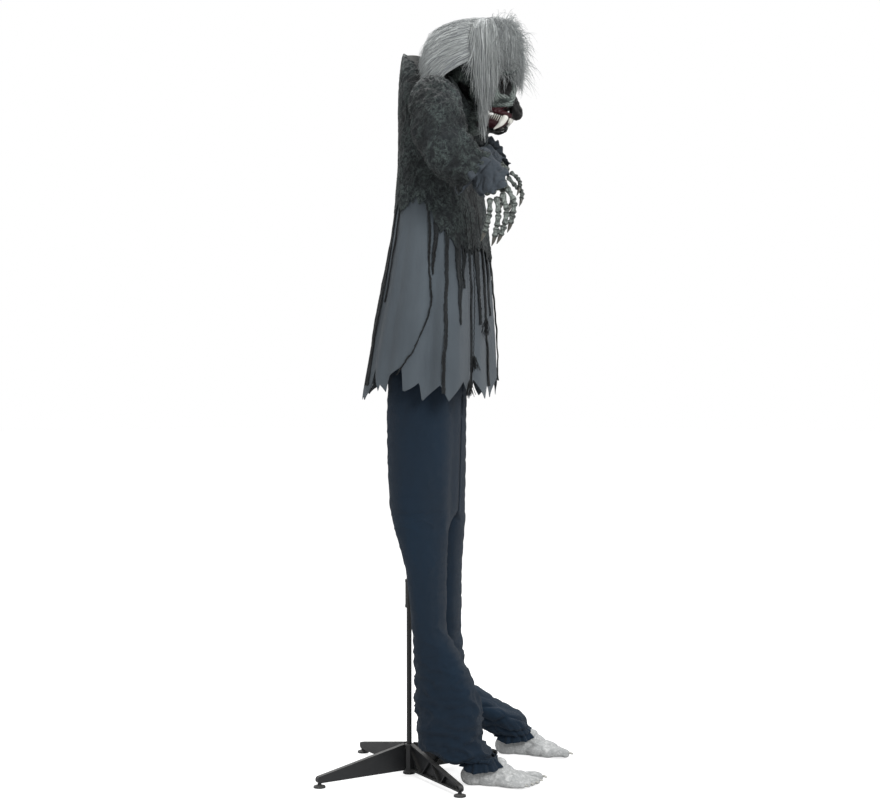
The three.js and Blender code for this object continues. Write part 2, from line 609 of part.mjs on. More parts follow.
function gearOutline(teethCount, pitchRadius) {
  const pitch = fullTurn / teethCount;
  const root = pitchRadius - gear.module * gearToothShares.dedendum;
  const tip = pitchRadius + gear.module * gearToothShares.addendum;
  const outline = new THREE.Shape();
  for (let i = 0; i < teethCount; i += 1) {
    const corners = [
      [root, -gearToothShares.root / 2], [tip, -gearToothShares.tip / 2], [tip, gearToothShares.tip / 2], [root, gearToothShares.root / 2],
    ];
    corners.forEach(([radius, share], k) => {
      const turn = (i + share) * pitch;
      const point = [radius * Math.cos(turn), radius * Math.sin(turn)];
      if (i === 0 && k === 0) outline.moveTo(...point);
      else outline.lineTo(...point);
    });
  }
  outline.closePath();
  return outline;
}

const wheelRadius = (gear.module * gear.wheelTeeth) / 2;
const pinionRadius = (gear.module * gear.pinionTeeth) / 2;
const gearDistance = wheelRadius + pinionRadius + gear.backlash;
const gearTop = -gear.drop;
const gearBottom = gearTop - gear.width;

function makeNeckDrive() {
  const bushProfile = [
    [neck.shaftRadius + fitGap, -neck.bushDepth], [neck.bushRadius, -neck.bushDepth], [neck.bushRadius, fitGap],
    [neck.bushFlange, fitGap], [neck.bushFlange, neck.bushLip], [neck.shaftRadius + fitGap, neck.bushLip],
    [neck.shaftRadius + fitGap, -neck.bushDepth],
  ];
  addPiece('neck_bush', turned(bushProfile), finishes.whiteNylon, neckGroup);
  const shaft = join(
    upright(neck.shaftRadius, -neck.shaftTail, neck.shaftTop + neck.plateThickness / 2),
    turned([
      [0, neck.shaftTop], [neck.plateRadius, neck.shaftTop], [neck.plateRadius, neck.shaftTop + neck.plateThickness],
      [0, neck.shaftTop + neck.plateThickness],
    ], wideSideCount),
    tubePiece(neck.bushRadius, neck.shaftRadius - fitGap, neck.bushLip + fitGap, neck.bushLip + neck.bushFlange),
  );
  addPiece('neck_shaft', shaft, finishes.zincSteel, neckGroup);
  const wheel = new THREE.ExtrudeGeometry(gearOutline(gear.wheelTeeth, wheelRadius), { depth: gear.width, bevelEnabled: false })
    .rotateZ(-halfTurn / 2).translate(0, 0, gearBottom);
  const wheelHub = upright(gear.hubRadius, gearBottom, gearTop + gear.hubLength);
  const wheelBore = upright(neck.shaftRadius + fitGap, gearBottom - overrun, gearTop + gear.hubLength + overrun);
  addPiece('neck_gear', cut(join(wheel, wheelHub), wheelBore), finishes.whiteNylon, neckGroup);
  const pinionTurn = halfTurn / gear.pinionTeeth;
  const pinion = new THREE.ExtrudeGeometry(gearOutline(gear.pinionTeeth, pinionRadius), { depth: gear.width, bevelEnabled: false })
    .rotateZ(halfTurn / 2 + pinionTurn);
  const pinionBore = upright(pinionShaftRadius + fitGap, -overrun, gear.width + overrun, 0, 0, smallSideCount);
  addPiece('motor_pinion', cut(pinion, pinionBore), finishes.whiteNylon, neckGroup).position.set(0, -gearDistance, gearBottom);
  makeGearbox();
}

function makeGearbox() {
  const top = gearBottom - 2 * gear.backlash;
  const middleY = -gearDistance;
  const box = block(-gearbox.halfWidth, gearbox.halfWidth, middleY - gearbox.depth / 2, middleY + gearbox.depth / 2, top - gearbox.height, top);
  const can = upright(gearbox.canRadius, top - gearbox.height - gearbox.canLength, top - gearbox.height / 2, 0, middleY);
  const output = upright(pinionShaftRadius, top - gearbox.height / 2, gearTop + gear.backlash, 0, middleY, smallSideCount);
  const posts = [-1, 1].map((side) => upright(
    gearbox.postRadius, top - gearbox.height / 2, -neck.flangeThickness - fitGap, side * gearbox.postSide, -gearbox.postBack, smallSideCount,
  ));
  addPiece('head_motor', join(box, can, output, ...posts), finishes.blackPlastic, neckGroup);
}

makeNeckDrive();

// Head
const headGroup = new THREE.Group();
headGroup.position.set(0, skull.y, skull.z);
figure.add(headGroup);

const skullToNeck = new THREE.Matrix4().makeTranslation(0, -skull.y, -skull.z).multiply(neckPlace);
const nearNeck = (shape) => toGeometry(shape).applyMatrix4(skullToNeck);
const fromSkull = (out, forward, down) => new THREE.Vector3(out, -forward, -down);

function skullForm(grow) {
  return egg(new THREE.Vector3(), skull.halfWidth + grow, skull.halfDepth + grow, skull.halfHeight + grow, formEgg);
}

function maskForm(grow) {
  const centre = fromSkull(0, mask.centreForward, mask.centreDown);
  return egg(centre, mask.halfWidth + grow, mask.halfDepth + grow, mask.halfHeight + grow, faceEgg);
}

function makeSkull() {
  const seat = nearNeck(upright(neck.plateRadius + fitGap, -overrun, neck.shaftTop + neck.plateThickness + fitGap, 0, 0, wideSideCount));
  const eyeRooms = [-1, 1].map((side) => egg(
    fromSkull(side * eye.out, eye.forward, eye.down), eye.radius + fitGap, eye.radius + fitGap, eye.radius + fitGap, eyeEgg,
  ));
  addPiece('skull_form', cut(skullForm(0), seat, ...eyeRooms), finishes.foam, headGroup);
}

function makeMask() {
  const parts = [
    egg(fromSkull(0, mask.muzzleForward, mask.muzzleDown), mask.muzzleHalfWidth, mask.muzzleHalfDepth, mask.muzzleHalfHeight, formEgg),
    egg(fromSkull(0, mask.noseForward, mask.noseDown), mask.noseHalfWidth, mask.noseHalfDepth, mask.noseHalfHeight, smallEgg),
    egg(fromSkull(0, mask.browForward, mask.browDown), mask.browHalfWidth, mask.browHalfDepth, mask.browHalfHeight, browEgg),
    egg(fromSkull(0, mask.jawForward, mask.jawDown), mask.jawHalfWidth, mask.jawHalfDepth, mask.jawHalfHeight, smallEgg),
  ];
  [-1, 1].forEach((side) => {
    parts.push(egg(
      fromSkull(side * mask.cheekOut, mask.cheekForward, mask.cheekDown), mask.cheekHalfWidth, mask.cheekHalfDepth, mask.cheekHalfHeight, smallEgg,
    ));
  });
  const face = join(maskForm(0), ...parts);
  const mouthTop = -mouth.ceilingDown;
  const mouthCut = block(-mouth.halfWidth, mouth.halfWidth, -mouth.backForward - mouth.reach, -mouth.backForward, mouthTop - mouth.height, mouthTop);
  const sockets = [-1, 1].flatMap((side) => [
    egg(fromSkull(side * eye.out, eye.socketForward, eye.down), eye.socketHalfWidth, eye.socketHalfDepth, eye.socketHalfHeight, smallEgg),
    egg(fromSkull(side * eye.out, eye.forward, eye.down), eye.radius + fitGap, eye.radius + fitGap, eye.radius + fitGap, eyeEgg),
  ]);
  const neckHole = nearNeck(upright(mask.neckHole, -overrun, neck.shaftTop + neck.plateThickness));
  const throat = nearNeck(upright(mask.throatRadius, -2 * mask.throatRadius, mask.throatLift));
  addPiece('face_mask', cut(face, skullForm(fitGap), mouthCut, neckHole, throat, ...sockets), finishes.latexDark, headGroup);
}

function makeEyes() {
  [['right', -1], ['left', 1]].forEach(([name, side]) => {
    const lens = egg(fromSkull(side * eye.out, eye.forward, eye.down), eye.radius, eye.radius, eye.radius, eyeEgg);
    addPiece(`eye_${name}`, lens, finishes.amberLens, headGroup);
  });
}

function makeTeeth() {
  const arch = new THREE.Shape();
  const inner = new THREE.Path();
  arch.absellipse(0, 0, teeth.archHalfWidth, teeth.archDepth, 0, fullTurn, false);
  inner.absellipse(0, 0, teeth.archHalfWidth - teeth.gumWidth, teeth.archDepth - teeth.gumWidth, 0, fullTurn, false);
  arch.holes.push(inner);
  const gumTop = -mouth.ceilingDown - fitGap;
  const centreY = -mouth.backForward - fitGap;
  const gum = new THREE.ExtrudeGeometry(arch, { depth: teeth.gumHeight, bevelEnabled: false, curveSegments: 7 })
    .translate(0, centreY, gumTop - teeth.gumHeight);
  const behind = block(
    -teeth.archHalfWidth * 2, teeth.archHalfWidth * 2, centreY, centreY + teeth.archDepth * 2,
    gumTop - teeth.gumHeight - overrun, gumTop + overrun,
  );
  const archPoint = (share, z, back = 0) => {
    const turn = share * halfTurn / 2;
    const mid = teeth.gumWidth / 2;
    return new THREE.Vector3(
      Math.sin(turn) * (teeth.archHalfWidth - mid), centreY - Math.cos(turn) * (teeth.archDepth - mid) + back, z,
    );
  };
  const root = gumTop - teeth.gumHeight / 2;
  const small = smallToothTurnShares.map((share) => between(
    archPoint(share, root), archPoint(share, root - teeth.toothLength), teeth.toothRadius, teeth.toothRadius / 6, 5,
  ));
  const fangs = [-fangTurnShare, fangTurnShare].map((share) => between(
    archPoint(share, root), archPoint(share, root - teeth.fangLength, teeth.fangBack), teeth.fangRadius, teeth.fangRadius / 8, 7,
  ));
  addPiece('upper_teeth', join(cut(gum, behind), ...small, ...fangs), finishes.ivory, headGroup);
}

// Wig: one swept form carried from the fringe to the nape, with a lock down each side of the face
function makeWig() {
  const rings = wigRowShares.map(([back, wide, high, low]) => {
    const middle = (high * wig.rise + low * wig.fall) / 2;
    const half = (high * wig.rise - low * wig.fall) / 2;
    return Array.from({ length: wigSideCount }, (_, i) => {
      const turn = (fullTurn * i) / wigSideCount;
      const across = Math.sign(Math.cos(turn)) * Math.abs(Math.cos(turn)) ** (2 / wigPower);
      const up = Math.sign(Math.sin(turn)) * Math.abs(Math.sin(turn)) ** (2 / wigPower);
      return new THREE.Vector3(wig.halfWidth * wide * across, -wig.front + wig.length * back, middle + half * up);
    });
  });
  const locks = [-1, 1].map((side) => {
    const top = new THREE.Vector3(side * wig.lockOut, -wig.lockForward, -wig.lockDrop);
    const stops = lockShares.map((share) => ({
      centre: top.clone().setZ(top.z - wig.lockLength * share),
      wide: mixed(wig.lockDepth, wig.lockDepth / 6, share ** 2),
      deep: mixed(wig.lockThickness, wig.lockThickness / 4, share ** 2),
      up: new THREE.Vector3(side, 0, 0),
      facing: new THREE.Vector3(0, 0, -1),
    }));
    return loft(pathRings(stops, smallSideCount));
  });
  const hair = join(loft(rings), ...locks);
  const far = wig.halfWidth + wig.front;
  const faceOpening = block(-far, far, -2 * far, -wig.faceForward, -2 * far, wig.browUp);
  const belowRim = nearNeck(block(-far, far, -2 * far, 2 * far, -2 * far, wig.rimLift));
  const behindEar = block(-far, far, -wig.lockForward + wig.lockDepth + fitGap, 2 * far, -2 * far, 2 * far);
  const inside = [
    maskForm(cloth.room),
    egg(fromSkull(0, mask.browForward, mask.browDown), mask.browHalfWidth + fitGap, mask.browHalfDepth + fitGap, mask.browHalfHeight + fitGap, browEgg),
    ...[-1, 1].map((side) => egg(
      fromSkull(side * mask.cheekOut, mask.cheekForward, mask.cheekDown),
      mask.cheekHalfWidth + fitGap, mask.cheekHalfDepth + fitGap, mask.cheekHalfHeight + fitGap, smallEgg,
    )),
  ];
  const throat = block(-wig.lockOut + wig.lockThickness, wig.lockOut - wig.lockThickness, -far, far, -2 * far, -skull.halfHeight * throatShare);
  addPiece('wig', cut(hair, ...inside, faceOpening, common(belowRim, behindEar), throat), finishes.greyFur, headGroup);
}

makeSkull();
makeMask();
makeEyes();
makeTeeth();
makeWig();

// Arms: everything hangs from the shoulder bar, and each joint turns about an axis along X
const shoulderPoint = (side) => new THREE.Vector3(side * shoulder.x, shoulder.y, shoulder.z);

function elbowPoint(reach) {
  const from = shoulderPoint(reach.side);
  return from.add(new THREE.Vector3(reach.side * reach.elbowOut, -reach.elbowForward, -reach.elbowDown));
}

function wristPoint(reach) {
  return elbowPoint(reach).add(new THREE.Vector3(-reach.side * reach.wristIn, -reach.wristForward, -reach.wristDown));
}

function tubeAlong(points, radius, steps, sides = smallSideCount) {
  const section = new THREE.Shape();
  section.absarc(0, 0, radius, 0, fullTurn, false);
  const path = new THREE.CatmullRomCurve3(points);
  return new THREE.ExtrudeGeometry(section, { extrudePath: path, steps, curveSegments: sides / 2, bevelEnabled: false });
}

// A flattened end: a round eye with a tail that leads up or down into the rod
function eyeAt(place, upwards) {
  const half = arm.eyeThickness / 2;
  const disc = sideways(arm.eyeRadius, place.x - half, place.x + half, place.y, place.z);
  const [z0, z1] = [place.z, place.z + upwards * (arm.eyeRadius + arm.tail)].sort((a, b) => a - b);
  const wide = arm.tubeRadius - fitGap;
  return join(disc, block(place.x - half, place.x + half, place.y - wide, place.y + wide, z0, z1));
}

function pinHoleAt(place) {
  const reach = arm.eyeThickness + arm.earThickness + overrun;
  return sideways(arm.pinRadius + fitGap, place.x - reach, place.x + reach, place.y, place.z, smallSideCount);
}

function makeBracket(name, side, parent) {
  const outerEnd = shoulder.x - arm.eyeThickness / 2 - fitGap;
  const span = (a, b) => [side * a, side * b].sort((p, q) => p - q);
  const barEnd = shoulderBar.halfLength;
  const cup = sideways(bracket.cupRadius, ...span(barEnd - bracket.cupLength, barEnd + tee.floor), shoulderBar.y, shoulder.z);
  const stem = sideways(bracket.stemRadius, ...span(outerEnd - bracket.stemLength, outerEnd), shoulder.y, shoulder.z);
  const rod = between(
    new THREE.Vector3(side * (barEnd - bracket.rodRadius), shoulderBar.y, shoulder.z),
    new THREE.Vector3(side * (outerEnd - bracket.rodRadius), shoulder.y, shoulder.z), bracket.rodRadius, bracket.rodRadius, smallSideCount,
  );
  const bore = sideways(
    shoulderBar.radius + fitGap, ...span(barEnd - bracket.cupLength - overrun, barEnd + fitGap), shoulderBar.y, shoulder.z,
  );
  const pinBore = sideways(
    arm.pinRadius + fitGap, ...span(outerEnd - bracket.stemLength, outerEnd + overrun), shoulder.y, shoulder.z, smallSideCount,
  );
  addPiece(`shoulder_bracket_${name}`, cut(join(cup, rod, stem), bore, pinBore), finishes.zincSteel, parent);
  const head = shoulder.x + arm.eyeThickness / 2 + fitGap;
  const pin = join(
    sideways(arm.pinRadius, ...span(outerEnd - bracket.stemLength + fitGap, head + arm.pinHeadLength / 2), shoulder.y, shoulder.z, smallSideCount),
    sideways(arm.pinHead, ...span(head, head + arm.pinHeadLength), shoulder.y, shoulder.z, headSideCount),
  );
  addPiece(`shoulder_bolt_${name}`, pin, finishes.zincSteel, parent);
}

function makeUpperArm(name, reach, parent) {
  const top = shoulderPoint(reach.side);
  const end = elbowPoint(reach);
  const raised = (place, rise) => place.clone().setZ(place.z + rise);
  const flat = arm.eyeRadius + arm.tail / 2;
  const rod = tubeAlong([
    raised(top, -flat), raised(top, -flat - arm.neckLength), raised(end, arm.elbowNeck), raised(end, flat),
  ], arm.tubeRadius, 6);
  const shape = join(eyeAt(top, -1), eyeAt(end, 1), rod);
  addPiece(`upper_arm_${name}`, cut(shape, pinHoleAt(top), pinHoleAt(end)), finishes.zincSteel, parent);
  const half = arm.eyeThickness / 2 + fitGap + arm.earThickness + fitGap;
  const bolt = join(
    sideways(arm.pinRadius, end.x - half - arm.pinHeadLength / 2, end.x + half + arm.pinHeadLength / 2, end.y, end.z, smallSideCount),
    sideways(arm.pinHead, end.x - half - arm.pinHeadLength, end.x - half, end.y, end.z, headSideCount),
    sideways(arm.pinHead, end.x + half, end.x + half + arm.pinHeadLength, end.y, end.z, headSideCount),
  );
  addPiece(`elbow_bolt_${name}`, bolt, finishes.zincSteel, parent);
}

// The forearm's fork straddles the upper arm's eye, and its rod ends in the palm
function makeForearm(name, reach, parent) {
  const elbow = elbowPoint(reach);
  const wrist = wristPoint(reach);
  const aim = Math.atan2(reach.wristForward, reach.wristDown);
  const ear0 = arm.eyeThickness / 2 + fitGap;
  const ear1 = ear0 + arm.earThickness;
  const bridgeTop = -arm.eyeRadius - arm.earThickness;
  const half = arm.tubeRadius;
  const pieces = [-1, 1].flatMap((side) => {
    const [a, b] = [side * ear0, side * ear1].sort((p, q) => p - q);
    return [sideways(arm.eyeRadius, a, b, 0, 0), block(a, b, -half, half, bridgeTop - arm.bridge / 2, 0)];
  });
  pieces.push(block(-ear1, ear1, -half, half, bridgeTop - arm.bridge, bridgeTop));
  const fork = toGeometry(join(...pieces)).rotateX(-aim).translate(elbow.x, elbow.y, elbow.z);
  const along = new THREE.Vector3(0, -Math.sin(aim), -Math.cos(aim));
  const start = elbow.clone().addScaledVector(along, arm.eyeRadius + arm.earThickness + arm.bridge / 2);
  const palmAim = THREE.MathUtils.degToRad(reach.palmDeg);
  const palmWay = new THREE.Vector3(0, -Math.sin(palmAim), -Math.cos(palmAim));
  const rod = tubeAlong([
    start, start.clone().addScaledVector(along, arm.bridge), wrist.clone().addScaledVector(palmWay, -hand.wristRadius),
    wrist.clone(), wrist.clone().addScaledVector(palmWay, hand.socketDepth / 2),
    wrist.clone().addScaledVector(palmWay, hand.socketDepth),
  ], arm.tubeRadius, 7);
  addPiece(`forearm_${name}`, cut(join(fork, rod), pinHoleAt(elbow)), finishes.zincSteel, parent);
}

// A finger or thumb: swelling at each joint, ending in a claw
function fingerForm(start, way, bend, length, radius) {
  const stops = fingerPlaceShares.map((share, k) => ({
    centre: start.clone().addScaledVector(way, length * share).addScaledVector(bend, hand.curl * share * share),
    wide: radius * fingerBulgeShares[k],
    deep: radius * fingerBulgeShares[k],
    up: new THREE.Vector3(1, 0, 0),
  }));
  return loft(pathRings(stops, fingerSideCount));
}

function makeHand(name, reach, parent) {
  const side = reach.side;
  const inward = new THREE.Vector3(-side, 0, 0);
  const palmStops = palmWideShares.map((wide, k) => ({
    centre: new THREE.Vector3(0, 0, -(hand.palmLength * k) / (palmWideShares.length - 1)),
    wide: hand.palmHalfWidth * wide,
    deep: hand.palmHalfDepth * palmDeepShares[k],
    up: new THREE.Vector3(1, 0, 0),
    facing: new THREE.Vector3(0, 0, -1),
  }));
  palmStops.unshift({ ...palmStops[0], centre: new THREE.Vector3(0, 0, hand.wristRadius / 2) });
  const pieces = [loft(pathRings(palmStops, palmSideCount))];
  const fingerTurn = THREE.MathUtils.degToRad(reach.palmDeg - reach.fingerDeg);
  fingerSideShares.forEach((share, k) => {
    const start = new THREE.Vector3(0, share * hand.palmHalfWidth, -hand.palmLength + hand.fingerRadius / 2);
    const spread = THREE.MathUtils.degToRad(fingerSpreadDegs[k]) + fingerTurn;
    const way = new THREE.Vector3(0, Math.sin(spread), -Math.cos(spread));
    pieces.push(fingerForm(start, way, inward, hand.fingerLength * fingerLengthShares[k], hand.fingerRadius));
  });
  const thumbTurn = THREE.MathUtils.degToRad(-hand.thumbDeg) + fingerTurn;
  const thumbWay = new THREE.Vector3(-side * 0.5, Math.sin(thumbTurn), -Math.cos(thumbTurn)).normalize();
  const thumbStart = new THREE.Vector3(0, -hand.palmHalfWidth / 2, -hand.palmLength / 3);
  pieces.push(fingerForm(thumbStart, thumbWay, inward, hand.thumbLength, hand.fingerRadius));
  const palmAim = THREE.MathUtils.degToRad(reach.palmDeg);
  const wrist = wristPoint(reach);
  const shape = toGeometry(join(...pieces)).rotateX(-palmAim).translate(wrist.x, wrist.y, wrist.z);
  const palmWay = new THREE.Vector3(0, -Math.sin(palmAim), -Math.cos(palmAim));
  const socket = between(
    wrist.clone().addScaledVector(palmWay, -hand.wristRadius - overrun),
    wrist.clone().addScaledVector(palmWay, hand.socketDepth + fitGap), arm.tubeRadius + hand.mouthRoom, arm.tubeRadius + fitGap, 2 * smallSideCount,
  );
  addPiece(`hand_${name}`, cut(shape, socket), finishes.latexHand, parent);
}

// Sleeves: the upper one starts square to the shoulder's axis and ends close round a ball at the elbow, so that both turn
function makeSleeves(name, reach, parent) {
  const side = reach.side;
  const elbow = elbowPoint(reach);
  const rimRadius = Math.sqrt(sleeve.elbowRadius ** 2 - sleeve.rimRise ** 2) + sleeve.seam + sleeve.wall;
  const gone = elbow.clone().sub(shoulderPoint(side));
  const startX = side * (sleeve.startX + fitGap);
  const upperStops = [
    { x: startX, share: 0, radius: sleeve.startRadius, facing: new THREE.Vector3(side, 0, 0) },
    { share: 0.34, radius: sleeve.startRadius, facing: new THREE.Vector3(side, 0, -0.5), lift: 0.16 },
    { share: 0.72, radius: sleeve.bellyRadius, facing: new THREE.Vector3(side * 0.55, 0, -1), lift: 0.26 },
    { share: 1, radius: rimRadius, facing: new THREE.Vector3(0, 0, -1) },
  ];
  const upperRings = (shrink) => pathRings(upperStops.map((stop, k) => {
    const centre = shoulderPoint(side).addScaledVector(gone, stop.share);
    if (k === 0) centre.x = stop.x;
    if (k === 3) centre.z += sleeve.rimRise;
    else centre.z += (stop.lift ?? 0) * Math.abs(gone.z);
    return {
      centre, facing: stop.facing.clone().normalize(), wide: stop.radius - shrink, deep: stop.radius - shrink,
      up: new THREE.Vector3(side * (k === 0 ? 0 : 1), 0, k === 3 ? 0 : 1).normalize(),
    };
  }), sleeveSideCount);
  addPiece(`sleeve_upper_${name}`, hollowLoft(upperRings(0), upperRings(sleeve.wall)), finishes.blackGauze, parent.upper);

  const hemCentre = elbow.clone().lerp(wristPoint(reach), sleeveHemShare).add(new THREE.Vector3(0, 0, -sleeve.hemDrop));
  const way = hemCentre.clone().sub(elbow);
  const down = way.clone().normalize();
  const start = new THREE.Vector3(0, 0, -1);
  const capTurns = [Math.asin(sleeve.armHole / sleeve.elbowRadius), Math.acos(sleeve.rimRise / sleeve.elbowRadius)];
  const lastTurn = halfTurn - Math.asin(sleeve.cuffStart / sleeve.elbowRadius);
  const lowerRings = (shrink) => {
    const radius = sleeve.elbowRadius - shrink;
    const onBall = (turnShare, cap) => {
      const facing = start.clone().lerp(down, turnShare).normalize();
      const size = radius * Math.sin(cap);
      const up = new THREE.Vector3(side, 0, 0);
      return { centre: elbow.clone().addScaledVector(facing, -radius * Math.cos(cap)), facing, wide: size, deep: size, up };
    };
    const balls = [0, 0, 1 / 3, 2 / 3, 1].map((share, k) => onBall(share, k < 2 ? capTurns[k] : mixed(capTurns[1], lastTurn, share)));
    const tubes = sleeveTubeShares.map(([share, size]) => ({
      centre: elbow.clone().addScaledVector(way, share), facing: down, wide: sleeve.hemRadius * size - shrink,
      deep: sleeve.hemRadius * size - shrink, up: new THREE.Vector3(side, 0, 0),
    }));
    const stops = [...balls, ...tubes];
    return pathRings(stops, sleeveSideCount, (turn, k) => 1 + (k === stops.length - 1 ? sleeve.ruffle : 0) * Math.cos(sleeve.ruffleCount * turn));
  };
  addPiece(`sleeve_lower_${name}`, hollowLoft(lowerRings(0), lowerRings(sleeve.wall)), finishes.blackGauze, parent.lower);
}

Object.entries(armReach).forEach(([name, reach]) => {
  const upper = new THREE.Group();
  const lower = new THREE.Group();
  figure.add(upper, lower);
  makeBracket(name, reach.side, torsoGroup);
  makeUpperArm(name, reach, upper);
  makeForearm(name, reach, lower);
  makeHand(name, reach, lower);
  makeSleeves(name, reach, { upper, lower });
});

// Clothes: level rings round the body, one inside the other on the same columns, so that the layers nest
const clothLift = cloth.room + cloth.thickness;

function mixedSize(a, b, share) {
  return {
    halfWidth: mixed(a.halfWidth, b.halfWidth, share), front: mixed(a.front, b.front, share), back: mixed(a.back, b.back, share),
  };
}

function shirtSize(z) {
  const body = torsoSize(z);
  const fall = (top) => THREE.MathUtils.clamp((top - z) / (top - shirt.hem), 0, 1);
  const frontShare = fall(shirt.frontFlareTop) ** shirt.frontFlarePower;
  const sideShare = fall(shirt.frontFlareTop) ** shirt.sideFlarePower;
  return {
    halfWidth: Math.max(body.halfWidth, mixed(torso.halfWidth, shirt.hemHalfWidth, sideShare) * Math.sign(sideShare)),
    front: Math.max(body.front, mixed(torso.frontDepth, shirt.hemFront, frontShare) * Math.sign(frontShare)),
    back: mixed(body.back, shirt.hemBack, fall(shirt.flareTop)),
  };
}

function shirtFold(z) {
  const share = THREE.MathUtils.clamp((shirt.flareTop - z) / (shirt.flareTop - shirt.hem), 0, 1);
  return (turn) => shirt.foldDepth * share * Math.sin(shirt.foldCount * turn + share);
}

// A ring whose height may differ from column to column
function drapeRing(heightAt, grow) {
  return Array.from({ length: bodySideCount }, (_, i) => {
    const z = heightAt(i);
    return levelRing(shirtSize(z), z, bodySideCount, grow, shirtFold(z))[i];
  });
}

const flareLevels = shirtLevelShares.map((share) => mixed(shirt.hem, shirt.frontFlareTop, share));
const bodyLevels = torsoLevels.filter((z) => z > shirt.frontFlareTop);
const clothLevels = [...flareLevels, ...bodyLevels];

function yoke(radius, reach, side) {
  const [x0, x1] = [side * shoulder.x / 3, side * reach].sort((a, b) => a - b);
  return sideways(radius, x0, x1, shoulder.y, shoulder.z, wideSideCount);
}

function neckOpening(radius) {
  return atNeck(upright(radius, -2 * neck.flangeThickness, 2 * neck.shaftTop, 0, 0, wideSideCount));
}

function makeShirt() {
  const hemAt = (i) => shirt.hem - shirt.hemDrop + shirt.hemRise * hemRiseShares[i % hemRiseShares.length];
  const levels = clothLevels.filter((z) => z > shirt.hem + shirt.hemRise && z < shirt.top);
  const rings = (grow) => [drapeRing(hemAt, grow), ...levels.map((z) => drapeRing(() => z, grow))];
  const outer = rings(clothLift);
  const inner = rings(cloth.room);
  const armholes = [-1, 1].map((side) => yoke(shirt.armholeRadius, shoulder.x, side));
  const shell = cut(hollowLoft(outer, inner), ...armholes, neckOpening(gauze.neckHole - 2 * cloth.thickness));
  addPiece('shirt', shell, finishes.greyCloth);
}

function makeCape() {
  const lift = clothLift + gauze.room;
  const edgeAt = (i) => gauze.bottom + gauze.ragged * gauzeEdgeShares[i % gauzeEdgeShares.length];
  const levels = clothLevels.filter((z) => z > gauze.bottom + gauze.ragged);
  const body = (grow, sink) => {
    const rings = [drapeRing((i) => edgeAt(i) - sink, grow), ...levels.map((z) => drapeRing(() => z, grow))];
    const top = rings.length - 1;
    rings[top] = rings[top].map((p) => p.clone().setZ(p.z + grow));
    return loft(rings);
  };
  const outerYokes = [-1, 1].map((side) => yoke(sleeve.startRadius, sleeve.startX, side));
  const innerYokes = [-1, 1].map((side) => yoke(sleeve.startRadius - cloth.thickness, sleeve.startX + overrun, side));
  const outer = join(body(lift + cloth.thickness, 0), ...outerYokes);
  const inner = join(body(lift, overrun), ...innerYokes);
  const strips = gauzeStripShares.map((share, k) => {
    const column = Math.round(share * bodySideCount);
    const reach = mixed(gauze.bottom, gauze.stripBottom, gauzeStripReachShares[k]);
    const heights = [...flareLevels.filter((z) => z > reach + gauze.ragged / 2 && z < gauze.bottom + 2 * gauze.ragged)];
    const stripRings = [reach, ...heights].map((z) => {
      const corner = (grow, i) => levelRing(shirtSize(z), z, bodySideCount, grow, shirtFold(z))[i % bodySideCount];
      const [low, high] = [lift + gauze.stripRoom, lift + gauze.stripRoom + cloth.thickness];
      return [corner(low, column), corner(high, column), corner(high, column + 1), corner(low, column + 1)];
    });
    return loft(stripRings);
  });
  addPiece('gauze_cape', cut(join(cut(outer, inner), ...strips), neckOpening(gauze.neckHole)), finishes.blackGauze);
}

// Trousers: hips and two slack legs that bag behind the ankles and are gathered there
function legStops(place, shrink) {
  const side = place.side;
  return trouserLegShares.map(([height, out, forward, wide, deep], k) => ({
    centre: new THREE.Vector3(
      mixed(side * trousers.legOut, place.x, out), mixed(-trousers.legForward, ankleY(place), forward),
      mixed(trousers.hem, trousers.hip, height),
    ),
    wide: trousers.legHalfWidth * wide - shrink,
    deep: trousers.legHalfDepth * deep - shrink,
    up: new THREE.Vector3(0, 1, 0),
    facing: new THREE.Vector3(0, 0, 1),
  }));
}

function ankleY(place) {
  return place.heelY - foot.ankleForward;
}

